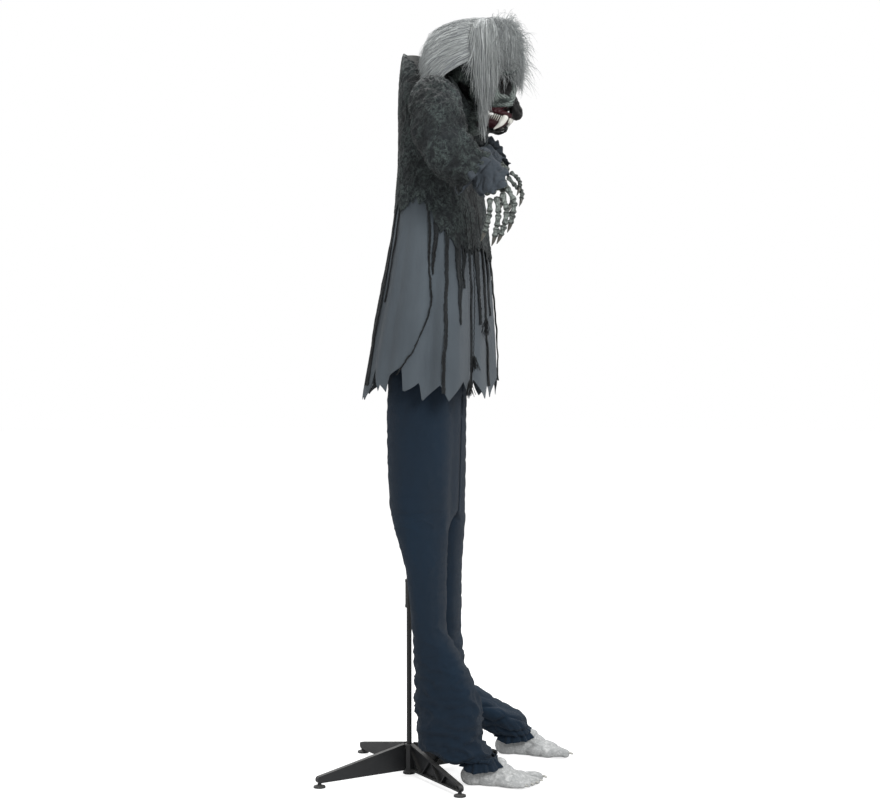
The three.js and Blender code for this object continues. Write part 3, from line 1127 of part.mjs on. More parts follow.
function makeTrousers() {
  const hipSize = { halfWidth: trousers.hipHalfWidth, front: trousers.hipFront, back: trousers.hipBack };
  const seatSize = { halfWidth: trousers.hipHalfWidth, front: trousers.seatFront, back: trousers.seatBack };
  const gussetSize = { halfWidth: trousers.gussetHalfWidth, front: trousers.gussetFront, back: trousers.gussetBack };
  const rows = [
    [trousers.gusset, gussetSize],
    [trousers.crotch, seatSize],
    [mixed(trousers.crotch, trousers.hip, seatShares.level), mixedSize(seatSize, hipSize, seatShares.size)],
    [trousers.hip, hipSize],
    [mixed(trousers.hip, torso.bottom, waistShares.level), mixedSize(hipSize, torsoSize(torso.bottom), waistShares.size)],
    [torso.bottom, torsoSize(torso.bottom)],
    [trousers.waist, torsoSize(trousers.waist)],
  ];
  const hips = (grow, rise) => loft(rows.map(([z, size], k) => levelRing(
    size, k === 0 ? z + rise : z, trousers.sideCount, grow + (z < torso.bottom ? 0 : trousers.waistEase),
  )).concat(rise > 0 ? [levelRing(torsoSize(trousers.waist), trousers.waist + overrun, trousers.sideCount, grow + trousers.waistEase)] : []));
  const legs = (shrink) => Object.values(footPlace).map((place) => {
    const rings = pathRings(legStops(place, shrink), trousers.legSideCount);
    if (shrink > 0) {
      rings[0] = rings[0].map((p) => p.clone().setZ(p.z + shrink));
      rings[rings.length - 1] = rings[rings.length - 1].map((p) => p.clone().setZ(p.z - shrink));
    }
    return loft(rings);
  });
  const outside = join(hips(cloth.thickness, 0), ...legs(0));
  const inside = join(hips(0, cloth.thickness), ...legs(cloth.thickness));
  const ankles = Object.values(footPlace).map((place) => upright(
    ankle.radius + 2 * fitGap, 0, ankle.top + overrun, place.x, ankleY(place), ankle.holeSideCount,
  ));
  const poleHole = upright(pole.radius + 2 * fitGap, 0, trousers.hip);
  addPiece('trousers', cut(outside, inside, poleHole, ...ankles), finishes.navyCloth);
}

// Feet: long soles with an arched instep and five toes, each with its ankle inside the trouser leg
function makeFoot(name, place) {
  const stops = footRowShares.map(([along, wide, high, lean]) => {
    const y = -foot.length * along;
    const halfWidth = foot.ballHalfWidth * wide;
    const height = foot.height * high;
    return Array.from({ length: foot.sideCount }, (_, i) => {
      const turn = (fullTurn * i) / foot.sideCount;
      const x = halfWidth * (Math.cos(turn) + lean * place.side);
      return new THREE.Vector3(x, y, Math.max(0, height * mixed(Math.sin(turn), 1, footFlatShare)));
    });
  });
  const sole = loft(stops);
  const toes = toeLengthShares.map((share, k) => {
    const across = (0.5 - k / (toeLengthShares.length - 1)) * 2 * -place.side;
    const radius = foot.toeRadius * toeSizeShares[k];
    const tipY = -foot.length * mixed(footToeRootShare, 1, share);
    const toeLength = Math.abs(tipY + foot.length * footToeBaseShare);
    const middle = new THREE.Vector3(across * (foot.ballHalfWidth - foot.toeRadius / 2), tipY + toeLength / 2, radius);
    return egg(middle, radius, toeLength / 2, radius, toeEgg);
  });
  const shin = upright(ankle.radius, foot.height / 3, ankle.top, 0, -foot.ankleForward, ankle.holeSideCount);
  const ground = block(-foot.length, foot.length, -2 * foot.length, foot.length, -foot.length, 0);
  const shape = toGeometry(cut(join(sole, shin, ...toes), ground));
  shape.translate(0, foot.ankleForward, 0).rotateZ(THREE.MathUtils.degToRad(place.turnDeg)).translate(place.x, ankleY(place), 0);
  addPiece(`foot_${name}`, shape, finishes.latexFoot);
}

function makeCuff(name, place) {
  const levels = [ankle.cuffTop, mixed(ankle.cuffTop, ankle.cuffBottom, 0.3), ankle.cuffBottom];
  const radii = [ankle.radius + fitGap + cloth.thickness, ankle.cuffRadius * 0.8, ankle.cuffRadius];
  const rings = (shrink) => levels.map((z, k) => Array.from({ length: ankle.sideCount }, (_, i) => {
    const turn = (fullTurn * i) / ankle.sideCount;
    const radius = radii[k] - shrink + (k === 0 ? 0 : ankle.cuffRuffle * (i % 2 === 0 ? 1 : -1));
    const drop = (k / 2) * ankle.cuffSideDrop * Math.cos(turn) ** 2;
    return new THREE.Vector3(radius * Math.cos(turn), radius * ankle.stretch ** (k / 2) * Math.sin(turn), z - drop);
  }));
  addPiece(`ankle_ruffle_${name}`, hollowLoft(rings(0), rings(cloth.thickness)), finishes.navyCloth)
    .position.set(place.x, ankleY(place), 0);
}

makeShirt();
makeCape();
makeTrousers();
Object.entries(footPlace).forEach(([name, place]) => {
  makeFoot(name, place);
  makeCuff(name, place);
});

// Control unit: an open-fronted case in the belly, closed by a cover that carries the loudspeaker and the controls
const controlGroup = new THREE.Group();
controlGroup.position.set(0, controlFaceY(), control.z);
torsoGroup.add(controlGroup);

const coverBack = -fitGap - control.wall - fitGap;
const coverFront = coverBack - control.coverThickness;

function makeControlCase() {
  const [w, h] = [control.halfWidth, control.height / 2];
  const flangeOut = control.flange;
  const body = block(-w, w, -fitGap - control.wall, control.depth, -h, h);
  const flange = block(-w - flangeOut, w + flangeOut, -fitGap - control.wall, -fitGap, -h - flangeOut, h + flangeOut);
  const front = -control.wall - overrun;
  const shelf = -h + control.wall + control.bayHeight;
  const bay = block(-w + control.wall, w - control.wall, front, control.bayDepth, -h + control.wall, shelf);
  const room = block(-w + control.wall, w - control.wall, front, control.depth - control.wall, shelf + control.wall, h - control.wall);
  const ribs = [-1, 0, 1].map((k) => block(
    k * w / 2 - control.wall / 2, k * w / 2 + control.wall / 2, control.bayDepth / 2, control.bayDepth,
    -h + control.wall, -h + control.wall + control.bayHeight / 4,
  ));
  const bosses = [-1, 1].map((side) => {
    const x = side * (board.halfWidth - board.boss);
    const boss = new THREE.CylinderGeometry(board.boss, board.boss, board.stand + control.wall, smallSideCount);
    return boss.translate(x, control.depth - board.stand / 2 - control.wall / 2, (shelf + h) / 2);
  });
  addPiece('control_case', join(cut(join(body, flange), bay, room), ...ribs, ...bosses), finishes.blackPlastic, controlGroup);
  const boardBack = control.depth - control.wall - board.stand - fitGap;
  const middle = (shelf + h) / 2;
  const plate = block(
    -board.halfWidth, board.halfWidth, boardBack - board.thickness, boardBack, middle - board.height / 2, middle + board.height / 2,
  );
  const chips = [-0.6, -0.1, 0.45].map((share, k) => block(
    board.halfWidth * share, board.halfWidth * share + board.height / (3 + k), boardBack - board.thickness - board.stand,
    boardBack - board.thickness, middle - board.height / 5, middle + board.height / 6,
  ));
  addPiece('circuit_board', join(plate, ...chips), finishes.board, controlGroup);
}

const doorHalfWidth = control.halfWidth - control.wall - control.doorLip;
const doorBottom = -control.height / 2 + control.wall;
const doorTop = doorBottom + control.bayHeight;

function makeCover() {
  const w = control.halfWidth + control.flange;
  const h = control.height / 2 + control.flange;
  const plate = block(-w, w, coverFront, coverBack, -h, h);
  const hatch = block(
    -doorHalfWidth + control.doorLip, doorHalfWidth - control.doorLip, coverFront - overrun, coverBack + overrun,
    doorBottom + control.doorLip, doorTop - control.doorLip,
  );
  const slotSpan = (speaker.slotCount - 1) * speaker.slotPitch;
  const slots = Array.from({ length: speaker.slotCount }, (_, i) => {
    const rise = -slotSpan / 2 + i * speaker.slotPitch;
    const half = Math.sqrt((speaker.radius - speaker.rim) ** 2 - rise ** 2);
    return block(
      -speaker.out - half, -speaker.out + half, coverFront - overrun, coverBack + overrun,
      speaker.up + rise - speaker.slotWidth / 2, speaker.up + rise + speaker.slotWidth / 2,
    );
  });
  const buttonHole = new THREE.CylinderGeometry(tryButton.radius + fitGap, tryButton.radius + fitGap, 4 * control.coverThickness, roundSideCount)
    .translate(tryButton.out, coverBack, tryButton.up);
  const knobHalf = powerSwitch.width / 2 + powerSwitch.travel / 2 + fitGap;
  const switchSlot = block(
    powerSwitch.out - knobHalf, powerSwitch.out + knobHalf, coverFront - overrun, coverBack + overrun,
    powerSwitch.up - powerSwitch.height / 2 - fitGap, powerSwitch.up + powerSwitch.height / 2 + fitGap,
  );
  const railFront = coverFront - control.doorThickness - 2 * fitGap - control.doorLip / 2;
  const rails = [-1, 1].flatMap((side) => {
    const [a, b] = [side * (doorHalfWidth + fitGap), side * (doorHalfWidth + control.doorLip)].sort((p, q) => p - q);
    const [c, d] = [side * (doorHalfWidth - control.doorLip / 2), side * (doorHalfWidth + control.doorLip)].sort((p, q) => p - q);
    const lipBack = railFront + control.doorLip / 2;
    return [block(a, b, railFront, coverFront, doorBottom, doorTop), block(c, d, railFront, lipBack, doorBottom, doorTop)];
  });
  addPiece('control_cover', cut(join(plate, ...rails), hatch, ...slots, buttonHole, switchSlot), finishes.blackPlastic, controlGroup);
}

function makeDoor() {
  const back = coverFront - fitGap;
  const front = back - control.doorThickness;
  const panel = block(-doorHalfWidth, doorHalfWidth, front, back, doorBottom, doorTop);
  const grips = [0, 1, 2].map((k) => block(
    -doorHalfWidth / 3, doorHalfWidth / 3, front - control.doorThickness / 2, front,
    doorTop - control.doorLip * 2 * (k + 1), doorTop - control.doorLip * (k + k + 1),
  ));
  addPiece('battery_door', join(panel, ...grips), finishes.blackPlastic, controlGroup);
}

function makeControls() {
  const back = coverBack + fitGap;
  const front = coverFront - tryButton.stand;
  const button = turned([
    [0, front], [tryButton.radius - tryButton.flange / 2, front], [tryButton.radius, front + tryButton.flange / 2],
    [tryButton.radius, back], [tryButton.radius + tryButton.flange, back], [tryButton.radius + tryButton.flange, back + tryButton.flange],
    [0, back + tryButton.flange],
  ]).rotateX(-halfTurn / 2);
  addPiece('try_button', button, finishes.blackPlastic, controlGroup).position.set(tryButton.out, 0, tryButton.up);
  const knob = join(
    block(-powerSwitch.width / 2, powerSwitch.width / 2, coverFront - powerSwitch.stand, back, -powerSwitch.height / 2, powerSwitch.height / 2),
    block(-powerSwitch.plate, powerSwitch.plate, back, back + powerSwitch.back, -powerSwitch.height, powerSwitch.height),
  );
  addPiece('power_switch', knob, finishes.blackPlastic, controlGroup).position.set(powerSwitch.out, 0, powerSwitch.up);
  const cone = turned([
    [0, 0], [speaker.radius / 2, speaker.rim], [speaker.radius, 0], [speaker.radius, speaker.rim],
    [speaker.radius * speaker.magnetShare, speaker.depth / 2], [speaker.radius * speaker.magnetShare, speaker.depth], [0, speaker.depth],
  ]).rotateX(-halfTurn / 2);
  addPiece('loudspeaker', cone, finishes.blackSteel, controlGroup).position.set(-speaker.out, coverBack + fitGap, speaker.up);
}

makeControlCase();
makeCover();
makeDoor();
makeControls();

export default figure;
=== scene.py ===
# %% [markdown]
# Standing animated wolf figure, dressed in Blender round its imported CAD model.
# The CAD model holds what carries and moves the figure: stand, poles, torso shells, arms and drive.
# This file gives it its looks: cloth, gauze, long grey hair, a wolf's face, bony hands and bare feet.
# Every new surface is a formula on a grid, worked out in numpy as whole arrays, in millimetres.

# %% Load the frame
import json

import bpy
import numpy as np
from mathutils import Euler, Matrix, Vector


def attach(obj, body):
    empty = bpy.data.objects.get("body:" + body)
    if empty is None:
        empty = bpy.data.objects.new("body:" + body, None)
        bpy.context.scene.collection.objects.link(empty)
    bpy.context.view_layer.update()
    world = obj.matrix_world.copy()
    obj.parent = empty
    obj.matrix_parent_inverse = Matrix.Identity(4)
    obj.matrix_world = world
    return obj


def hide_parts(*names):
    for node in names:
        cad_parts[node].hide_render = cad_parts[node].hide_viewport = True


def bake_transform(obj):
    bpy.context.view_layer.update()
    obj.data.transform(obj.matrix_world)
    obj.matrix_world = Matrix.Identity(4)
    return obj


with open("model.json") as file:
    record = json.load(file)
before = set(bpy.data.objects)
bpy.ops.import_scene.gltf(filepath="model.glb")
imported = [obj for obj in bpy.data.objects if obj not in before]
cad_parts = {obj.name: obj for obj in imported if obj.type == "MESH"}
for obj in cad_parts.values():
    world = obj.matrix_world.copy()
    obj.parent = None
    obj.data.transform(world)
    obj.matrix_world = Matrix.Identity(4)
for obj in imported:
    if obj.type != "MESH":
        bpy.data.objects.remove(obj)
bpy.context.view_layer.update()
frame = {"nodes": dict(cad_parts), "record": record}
scene = bpy.context.scene
scene.view_settings.view_transform = "Standard"

# %% [markdown]
# The camera stands about four metres to the figure's right and a little in front of it, at chest height.
# It is a long lens, so the near and the far leg keep almost the same size.

# %% Camera
CAMERA_PLACE = Vector((-4.0579, -1.0854, 1.043))
CAMERA_LOOK = Vector((0.9694, 0.2417, -0.0419))
CAMERA_LENS = 74.74

camera = bpy.data.objects.new("camera", bpy.data.cameras.new("camera"))
camera.location = CAMERA_PLACE
camera.rotation_mode = "QUATERNION"
camera.rotation_quaternion = CAMERA_LOOK.to_track_quat("-Z", "Y")
camera.data.lens = CAMERA_LENS
scene.collection.objects.link(camera)
scene.camera = camera
print("camera", tuple(round(x, 2) for x in CAMERA_PLACE), "lens", CAMERA_LENS)

# %% [markdown]
# Three small helpers keep the material cells short: one writes a colour as a designer names it,
# one adds a node and feeds its sockets, and one makes a shader node group with named sockets.

# %% Helpers for colours and nodes
def tint(code):
    """A colour written in hexadecimal as the linear red, green and blue that Blender mixes, fully opaque."""
    shares = np.array([int(code[i:i + 2], 16) for i in (0, 2, 4)]) / 255
    linear = np.where(shares <= 0.04045, shares / 12.92, ((shares + 0.055) / 1.055) ** 2.4)
    return (*linear, 1.0)


def node(tree, kind, inputs=None, **settings):
    """Adds a shader node; an input is a plain value or another node's output socket, which is linked."""
    made = tree.nodes.new("ShaderNode" + kind)
    for key, value in settings.items():
        setattr(made, key, value)
    for key, value in (inputs or {}).items():
        if isinstance(value, bpy.types.NodeSocket):
            tree.links.new(value, made.inputs[key])
        else:
            made.inputs[key].default_value = value
    return made


def maths(tree, operation, first, second, clamp=False):
    """One sum on one or two numbers."""
    return node(tree, "Math", {0: first, 1: second}, operation=operation, use_clamp=clamp).outputs[0]


def mixed_colour(tree, share, first, second):
    """The first colour where share is 0 and the second where it is 1."""
    mix = node(tree, "Mix", {0: share, 6: first, 7: second}, data_type="RGBA")
    return mix.outputs[2]


def shader_group(name, inputs, outputs):
    """An empty node group with named sockets; inputs are (name, kind, default), outputs are (name, kind)."""
    group = bpy.data.node_groups.new(name, "ShaderNodeTree")
    for label, kind, value in inputs:
        socket = group.interface.new_socket(label, in_out="INPUT", socket_type="NodeSocket" + kind)
        socket.default_value = value
    for label, kind in outputs:
        group.interface.new_socket(label, in_out="OUTPUT", socket_type="NodeSocket" + kind)
    given = group.nodes.new("NodeGroupInput")
    result = group.nodes.new("NodeGroupOutput")
    return group, given.outputs, result.inputs


def use_group(tree, group, **inputs):
    """Places a group in a material; inputs are named with underscores for spaces."""
    made = tree.nodes.new("ShaderNodeGroup")
    made.node_tree = group
    for key, value in inputs.items():
        socket = made.inputs[key.replace("_", " ")]
        if isinstance(value, bpy.types.NodeSocket):
            tree.links.new(value, socket)
        else:
            socket.default_value = value
    return made.outputs

# %% [markdown]
# Shared effects. Mottling breaks one colour into two at a chosen size. A weave draws threads from the
# piece's own UV map, which is laid out in metres. Crumple makes the sharp ridges of gauze and dried skin.
# Dust pales what faces up, and grain is the fine orange-peel of moulded plastic and powder paint.

# %% Shared shader groups
def make_mottle():
    """Colour = dark to light by a noise of the given size, steepened by contrast."""
    group, given, result = shader_group(
        "mottle",
        [("Dark", "Color", (0, 0, 0, 1)), ("Light", "Color", (1, 1, 1, 1)), ("Scale", "Float", 20.0),
         ("Contrast", "Float", 1.5), ("Stretch", "Vector", (1, 1, 1))],
        [("Colour", "Color"), ("Mask", "Float")],
    )
    place = node(group, "TexCoord").outputs["Object"]
    scaled = node(group, "VectorMath", {0: place, 1: given["Stretch"]}, operation="MULTIPLY").outputs[0]
    speckle = {"Vector": scaled, "Scale": given["Scale"], "Detail": 6.0, "Roughness": 0.6}
    noise = node(group, "TexNoise", speckle)
    spread = maths(group, "MULTIPLY", maths(group, "SUBTRACT", noise.outputs[0], 0.5), given["Contrast"])
    mask = maths(group, "ADD", spread, 0.5, clamp=True)
    group.links.new(mixed_colour(group, mask, given["Dark"], given["Light"]), result["Colour"])
    group.links.new(mask, result["Mask"])
    return group


def make_weave():
    """Height = the higher of two crossed sine waves, which stand for warp and weft threads."""
    group, given, result = shader_group("weave", [("Threads", "Float", 900.0)], [("Height", "Float")])
    place = node(group, "TexCoord").outputs["UV"]
    waves = [
        node(group, "TexWave", {"Vector": place, "Scale": given["Threads"], "Distortion": 0.4, "Detail": 1.0},
             bands_direction=way).outputs[1]
        for way in ("X", "Y")
    ]
    group.links.new(maths(group, "MAXIMUM", *waves), result["Height"])
    return group


def make_crumple():
    """Height = one minus the distance of a noise from its middle, which folds it into sharp ridges."""
    group, given, result = shader_group(
        "crumple", [("Scale", "Float", 30.0), ("Sharpness", "Float", 4.0), ("Stretch", "Vector", (1, 1, 1))],
        [("Ridge", "Float")],
    )
    place = node(group, "TexCoord").outputs["Object"]
    scaled = node(group, "VectorMath", {0: place, 1: given["Stretch"]}, operation="MULTIPLY").outputs[0]
    bent = {"Vector": scaled, "Scale": given["Scale"], "Detail": 4.0, "Roughness": 0.55, "Distortion": 0.8}
    noise = node(group, "TexNoise", bent)
    away = maths(group, "ABSOLUTE", maths(group, "SUBTRACT", noise.outputs[0], 0.5), 0.0)
    ridge = maths(group, "SUBTRACT", 1.0, maths(group, "MULTIPLY", away, given["Sharpness"]), clamp=True)
    group.links.new(ridge, result["Ridge"])
    return group


def make_dust():
    """Mask = how far the surface faces up, broken by noise, times the amount."""
    settings = [("Amount", "Float", 0.3), ("Scale", "Float", 60.0)]
    group, given, result = shader_group("dust", settings, [("Mask", "Float")])
    facing = node(group, "SeparateXYZ", {0: node(group, "NewGeometry").outputs["Normal"]}).outputs[2]
    place = node(group, "TexCoord").outputs["Object"]
    noise = node(group, "TexNoise", {"Vector": place, "Scale": given["Scale"], "Detail": 5.0})
    up = maths(group, "MULTIPLY", maths(group, "MAXIMUM", facing, 0.0), noise.outputs[0])
    group.links.new(maths(group, "MULTIPLY", up, given["Amount"], clamp=True), result["Mask"])
    return group


def make_grain():
    """Height = fine round cells; Mask = a slow noise for uneven gloss."""
    results = [("Height", "Float"), ("Mask", "Float")]
    group, given, result = shader_group("grain", [("Scale", "Float", 900.0)], results)
    place = node(group, "TexCoord").outputs["Object"]
    cells = node(group, "TexVoronoi", {"Vector": place, "Scale": given["Scale"]}, feature="SMOOTH_F1")
    slow = node(group, "TexNoise", {"Vector": place, "Scale": 14.0, "Detail": 4.0})
    group.links.new(cells.outputs["Distance"], result["Height"])
    group.links.new(slow.outputs[0], result["Mask"])
    return group


MOTTLE, WEAVE, CRUMPLE, DUST, GRAIN = make_mottle(), make_weave(), make_crumple(), make_dust(), make_grain()
print("shader groups", [g.name for g in bpy.data.node_groups])

# %% [markdown]
# A material is a Principled shader. Plain finishes share one recipe: a mottled colour, dust on top,
# a slowly changing gloss and a grain for the bump.

# %% Recipe for plain hard finishes
def new_material(name):
    """An empty material: its tree, its Principled shader and the material itself."""
    material = bpy.data.materials.new(name)
    material.use_nodes = True
    tree = material.node_tree
    return material, tree, tree.nodes["Principled BSDF"]


def set_plain(shader, **values):
    """Sets numbers that are the same all over the surface on the shader's own sockets."""
    for key, value in values.items():
        shader.inputs[key.replace("_", " ")].default_value = value


def bump(tree, shader, height, distance):
    """Feeds a height, in metres once multiplied by distance, to the shader's normal."""
    made = node(tree, "Bump", {"Height": height, "Distance": distance, "Strength": 1.0})
    tree.links.new(made.outputs[0], shader.inputs["Normal"])


def varied(tree, mask, low, high):
    """A number from low to high as mask goes from 0 to 1."""
    return node(tree, "MapRange", {0: mask, 3: low, 4: high}).outputs[0]


def hard_finish(name, dark, light, gloss, metal=0.0, patch=18.0, grain=900.0, depth=0.0002, dust=0.25):
    """Moulded, painted or plated: gloss is the (low, high) roughness."""
    material, tree, shader = new_material(name)
    base = use_group(tree, MOTTLE, Dark=tint(dark), Light=tint(light), Scale=patch, Contrast=1.6)
    fine = use_group(tree, GRAIN, Scale=grain)
    film = use_group(tree, DUST, Amount=dust)
    dusty = mixed_colour(tree, film["Mask"], base["Colour"], tint("9a9893"))
    tree.links.new(dusty, shader.inputs["Base Color"])
    tree.links.new(varied(tree, fine["Mask"], *gloss), shader.inputs["Roughness"])
    bump(tree, shader, fine["Height"], depth)
    set_plain(shader, Metallic=metal)
    return material


FINISHES = {
    "black_plastic": hard_finish("black_plastic", "141517", "1d1f21", (0.38, 0.6)),
    "pad_rubber": hard_finish("pad_rubber", "17181a", "242628", (0.6, 0.85), grain=500.0, dust=0.35),
    "black_steel": hard_finish("black_steel", "0f1011", "191a1c", (0.25, 0.42), grain=1400.0, depth=0.0001,
                               dust=0.1),
    "torso_plastic": hard_finish("torso_plastic", "262829", "323537", (0.5, 0.75)),
    "zinc_steel": hard_finish("zinc_steel", "7d8286", "b3b7ba", (0.22, 0.45), metal=0.9, patch=60.0,
                              dust=0.08),
    "board_green": hard_finish("board_green", "1f4a2c", "2f6a3f", (0.3, 0.5), patch=90.0),
    "button_red": hard_finish("button_red", "7a1a16", "93231d", (0.3, 0.5)),
    "white_nylon": hard_finish("white_nylon", "c4c1b8", "dcd9d0", (0.4, 0.6), dust=0.1),
    "foam": hard_finish("foam", "7d7c74", "97968e", (0.85, 1.0), grain=260.0, depth=0.0008),
}
print("plain finishes", sorted(FINISHES))

# %% [markdown]
# Cloth. The shirt is a dull grey polyester, the trousers a navy one: a fine weave, a soft sheen at
# grazing angles and slow shade where the cloth has creased. The gauze is nearly black in uneven patches,
# and its crumpled ridges carry a painted highlight of pale grey-green.

# %% Cloth and gauze materials
UPRIGHT = (1, 1, 0.35)  # stretches a noise along the height


def cloth_finish(name, dark, light, threads, sheen):
    """Woven cloth: mottled colour, thread bump on the UV map and a fuzzy sheen."""
    material, tree, shader = new_material(name)
    colours = {"Dark": tint(dark), "Light": tint(light)}
    base = use_group(tree, MOTTLE, **colours, Scale=7.0, Contrast=1.5, Stretch=UPRIGHT)
    threads_out = use_group(tree, WEAVE, Threads=threads)
    creases = use_group(tree, CRUMPLE, Scale=9.0, Sharpness=9.0, Stretch=(1, 1, 0.3))
    thread_share = maths(tree, "MULTIPLY", threads_out["Height"], 0.16)
    shade = mixed_colour(tree, thread_share, base["Colour"], tint(light))
    tree.links.new(shade, shader.inputs["Base Color"])
    tree.links.new(varied(tree, base["Mask"], 0.72, 0.95), shader.inputs["Roughness"])
    height = maths(tree, "ADD", maths(tree, "MULTIPLY", creases["Ridge"], 2.0), threads_out["Height"])
    bump(tree, shader, height, 0.0003)
    set_plain(shader, Sheen_Weight=sheen, Sheen_Roughness=0.5, Specular_IOR_Level=0.25)
    return material


def gauze_finish(name, hollow, ridge, size=26.0):
    """Crumpled gauze: nearly black, a painted highlight on its ridges, and a bump that follows both sizes of
    ridge.
    """
    material, tree, shader = new_material(name)
    wide = use_group(tree, CRUMPLE, Scale=size, Sharpness=5.0, Stretch=(1, 1, 0.7))
    fine = use_group(tree, CRUMPLE, Scale=size * 3.5, Sharpness=5.0)
    patch = use_group(tree, MOTTLE, Dark=tint(hollow), Light=tint("23282b"), Scale=9.0, Contrast=2.4)
    ridges = maths(tree, "MULTIPLY", wide["Ridge"], fine["Ridge"])
    # the pale ridge colour is a painted highlight, laid where both sizes of crumple ridge are high
    share = maths(tree, "MULTIPLY", maths(tree, "POWER", ridges, 2.6), patch["Mask"], clamp=True)
    tree.links.new(mixed_colour(tree, share, patch["Colour"], tint(ridge)), shader.inputs["Base Color"])
    tree.links.new(varied(tree, fine["Ridge"], 0.95, 0.7), shader.inputs["Roughness"])
    bump(tree, shader, maths(tree, "ADD", maths(tree, "MULTIPLY", wide["Ridge"], 2.0), fine["Ridge"]), 0.0011)
    set_plain(shader, Sheen_Weight=0.05, Sheen_Roughness=0.6, Specular_IOR_Level=0.25)
    return material


SHIRT_CLOTH = cloth_finish("grey_shirt_cloth", "383f46", "5f686f", 900.0, 0.12)
CUFF_CLOTH = cloth_finish("grey_cuff_cloth", "2c3239", "4c545c", 700.0, 0.08)
TROUSER_CLOTH = cloth_finish("navy_trouser_cloth", "0b1723", "152a3c", 1100.0, 0.04)
# the second colour of each gauze is the painted highlight on its ridges
GAUZE = gauze_finish("black_gauze", "0d0f10", "56625f")
STRIP_GAUZE = gauze_finish("black_strip_gauze", "08090a", "1f2325", 40.0)
print("cloth materials", SHIRT_CLOTH.name, TROUSER_CLOTH.name, GAUZE.name)

# %% [markdown]
# Latex skins. Their creases take a darker colour as painted shade. Point masks carry the places that are
# painted by hand, such as the nose, and also more painted shade and a painted highlight on raised lines.

# %% Skin, hair and tooth materials
def skin_finish(name, dark, middle, pale, size, depth=0.0009, crease=0.75):
    """Painted latex: dark, middle and pale colours, where the dark one is painted shade in the creases. The
    point masks add black paint, red gum, painted shade on hands and feet and a painted highlight on raised
    lines."""
    material, tree, shader = new_material(name)
    ridge = use_group(tree, CRUMPLE, Scale=size, Sharpness=4.5)
    pores = use_group(tree, CRUMPLE, Scale=size * 4, Sharpness=4.0)
    base = use_group(tree, MOTTLE, Dark=tint(middle), Light=tint(pale), Scale=size * 0.6, Contrast=2.2)
    # painted shade: the dark colour is mixed in along the crumpled creases, which the bump sinks
    creased = mixed_colour(tree, maths(tree, "MULTIPLY", ridge["Ridge"], crease), base["Colour"], tint(dark))
    # painted highlight: a pale colour on the raised lines that this mask marks
    rub = node(tree, "Attribute", attribute_name="rub").outputs["Fac"]
    highlighted = mixed_colour(tree, rub, creased, tint("bcc5c0"))
    # the black mask holds black paint, and on hands and feet painted shade as well
    ink = node(tree, "Attribute", attribute_name="ink").outputs["Fac"]
    wet = node(tree, "Attribute", attribute_name="wet").outputs["Fac"]
    inked_and_shaded = mixed_colour(tree, ink, highlighted, tint("070808"))
    tree.links.new(mixed_colour(tree, wet, inked_and_shaded, tint("37141a")), shader.inputs["Base Color"])
    dry = varied(tree, ridge["Ridge"], 0.7, 0.45)
    shine = varied(tree, maths(tree, "MAXIMUM", ink, wet), dry, 0.28)
    tree.links.new(shine, shader.inputs["Roughness"])
    height = maths(tree, "ADD", maths(tree, "MULTIPLY", ridge["Ridge"], -1.5), pores["Ridge"])
    bump(tree, shader, height, depth)
    set_plain(shader, Specular_IOR_Level=0.3)
    return material


def hair_finish(name):
    """Long fibre: each lock has its own tint, darker at the root, with streaks that run along it."""
    material, tree, shader = new_material(name)
    own = node(tree, "Attribute", attribute_name="own").outputs["Fac"]
    along = node(tree, "Attribute", attribute_name="along").outputs["Fac"]
    around = node(tree, "Attribute", attribute_name="around").outputs["Fac"]
    scaled = [maths(tree, "MULTIPLY", *pair) for pair in ((around, 9.0), (along, 1.4), (own, 90.0))]
    place = node(tree, "CombineXYZ", dict(enumerate(scaled))).outputs[0]
    streak = node(tree, "TexNoise", {"Vector": place, "Scale": 2.0, "Detail": 3.0}).outputs[0]
    parts = [maths(tree, "MULTIPLY", own, 0.55), maths(tree, "MULTIPLY", streak, 0.6)]
    share = maths(tree, "ADD", *parts, clamp=True)
    steep = node(tree, "MapRange", {0: share, 1: 0.22, 2: 0.78}).outputs[0]
    body = mixed_colour(tree, steep, tint("565a5f"), tint("bcc1c0"))
    root = maths(tree, "SUBTRACT", 1.0, maths(tree, "MULTIPLY", along, 3.0), clamp=True)
    rooted = mixed_colour(tree, maths(tree, "MULTIPLY", root, 0.45), body, tint("4c4a50"))
    tree.links.new(rooted, shader.inputs["Base Color"])
    tree.links.new(varied(tree, streak, 0.45, 0.75), shader.inputs["Roughness"])
    bump(tree, shader, streak, 0.0006)
    set_plain(shader, Specular_IOR_Level=0.35, Sheen_Weight=0.3, Sheen_Roughness=0.4)
    return material


def tooth_finish():
    """Ivory: stained unevenly, glossy, with faint lengthwise lines."""
    material, tree, shader = new_material("tooth_ivory")
    pale, yellow = tint("f4f4ef"), tint("c6c3b8")
    stain = use_group(tree, MOTTLE, Dark=yellow, Light=pale, Scale=120.0, Contrast=1.8, Stretch=(1, 1, 0.3))
    tree.links.new(stain["Colour"], shader.inputs["Base Color"])
    tree.links.new(varied(tree, stain["Mask"], 0.35, 0.2), shader.inputs["Roughness"])
    bump(tree, shader, stain["Mask"], 0.0002)
    set_plain(shader, Coat_Weight=0.4, Coat_Roughness=0.15)
    return material


def lens_finish():
    """A dark glassy eye, nearly black, with a trace of amber."""
    material, tree, shader = new_material("eye_lens")
    glow = use_group(tree, MOTTLE, Dark=tint("030303"), Light=tint("120a06"), Scale=160.0, Contrast=2.5)
    tree.links.new(glow["Colour"], shader.inputs["Base Color"])
    tree.links.new(varied(tree, glow["Mask"], 0.08, 0.14), shader.inputs["Roughness"])
    set_plain(shader, Coat_Weight=0.25, Coat_Roughness=0.1, Specular_IOR_Level=0.25)
    return material


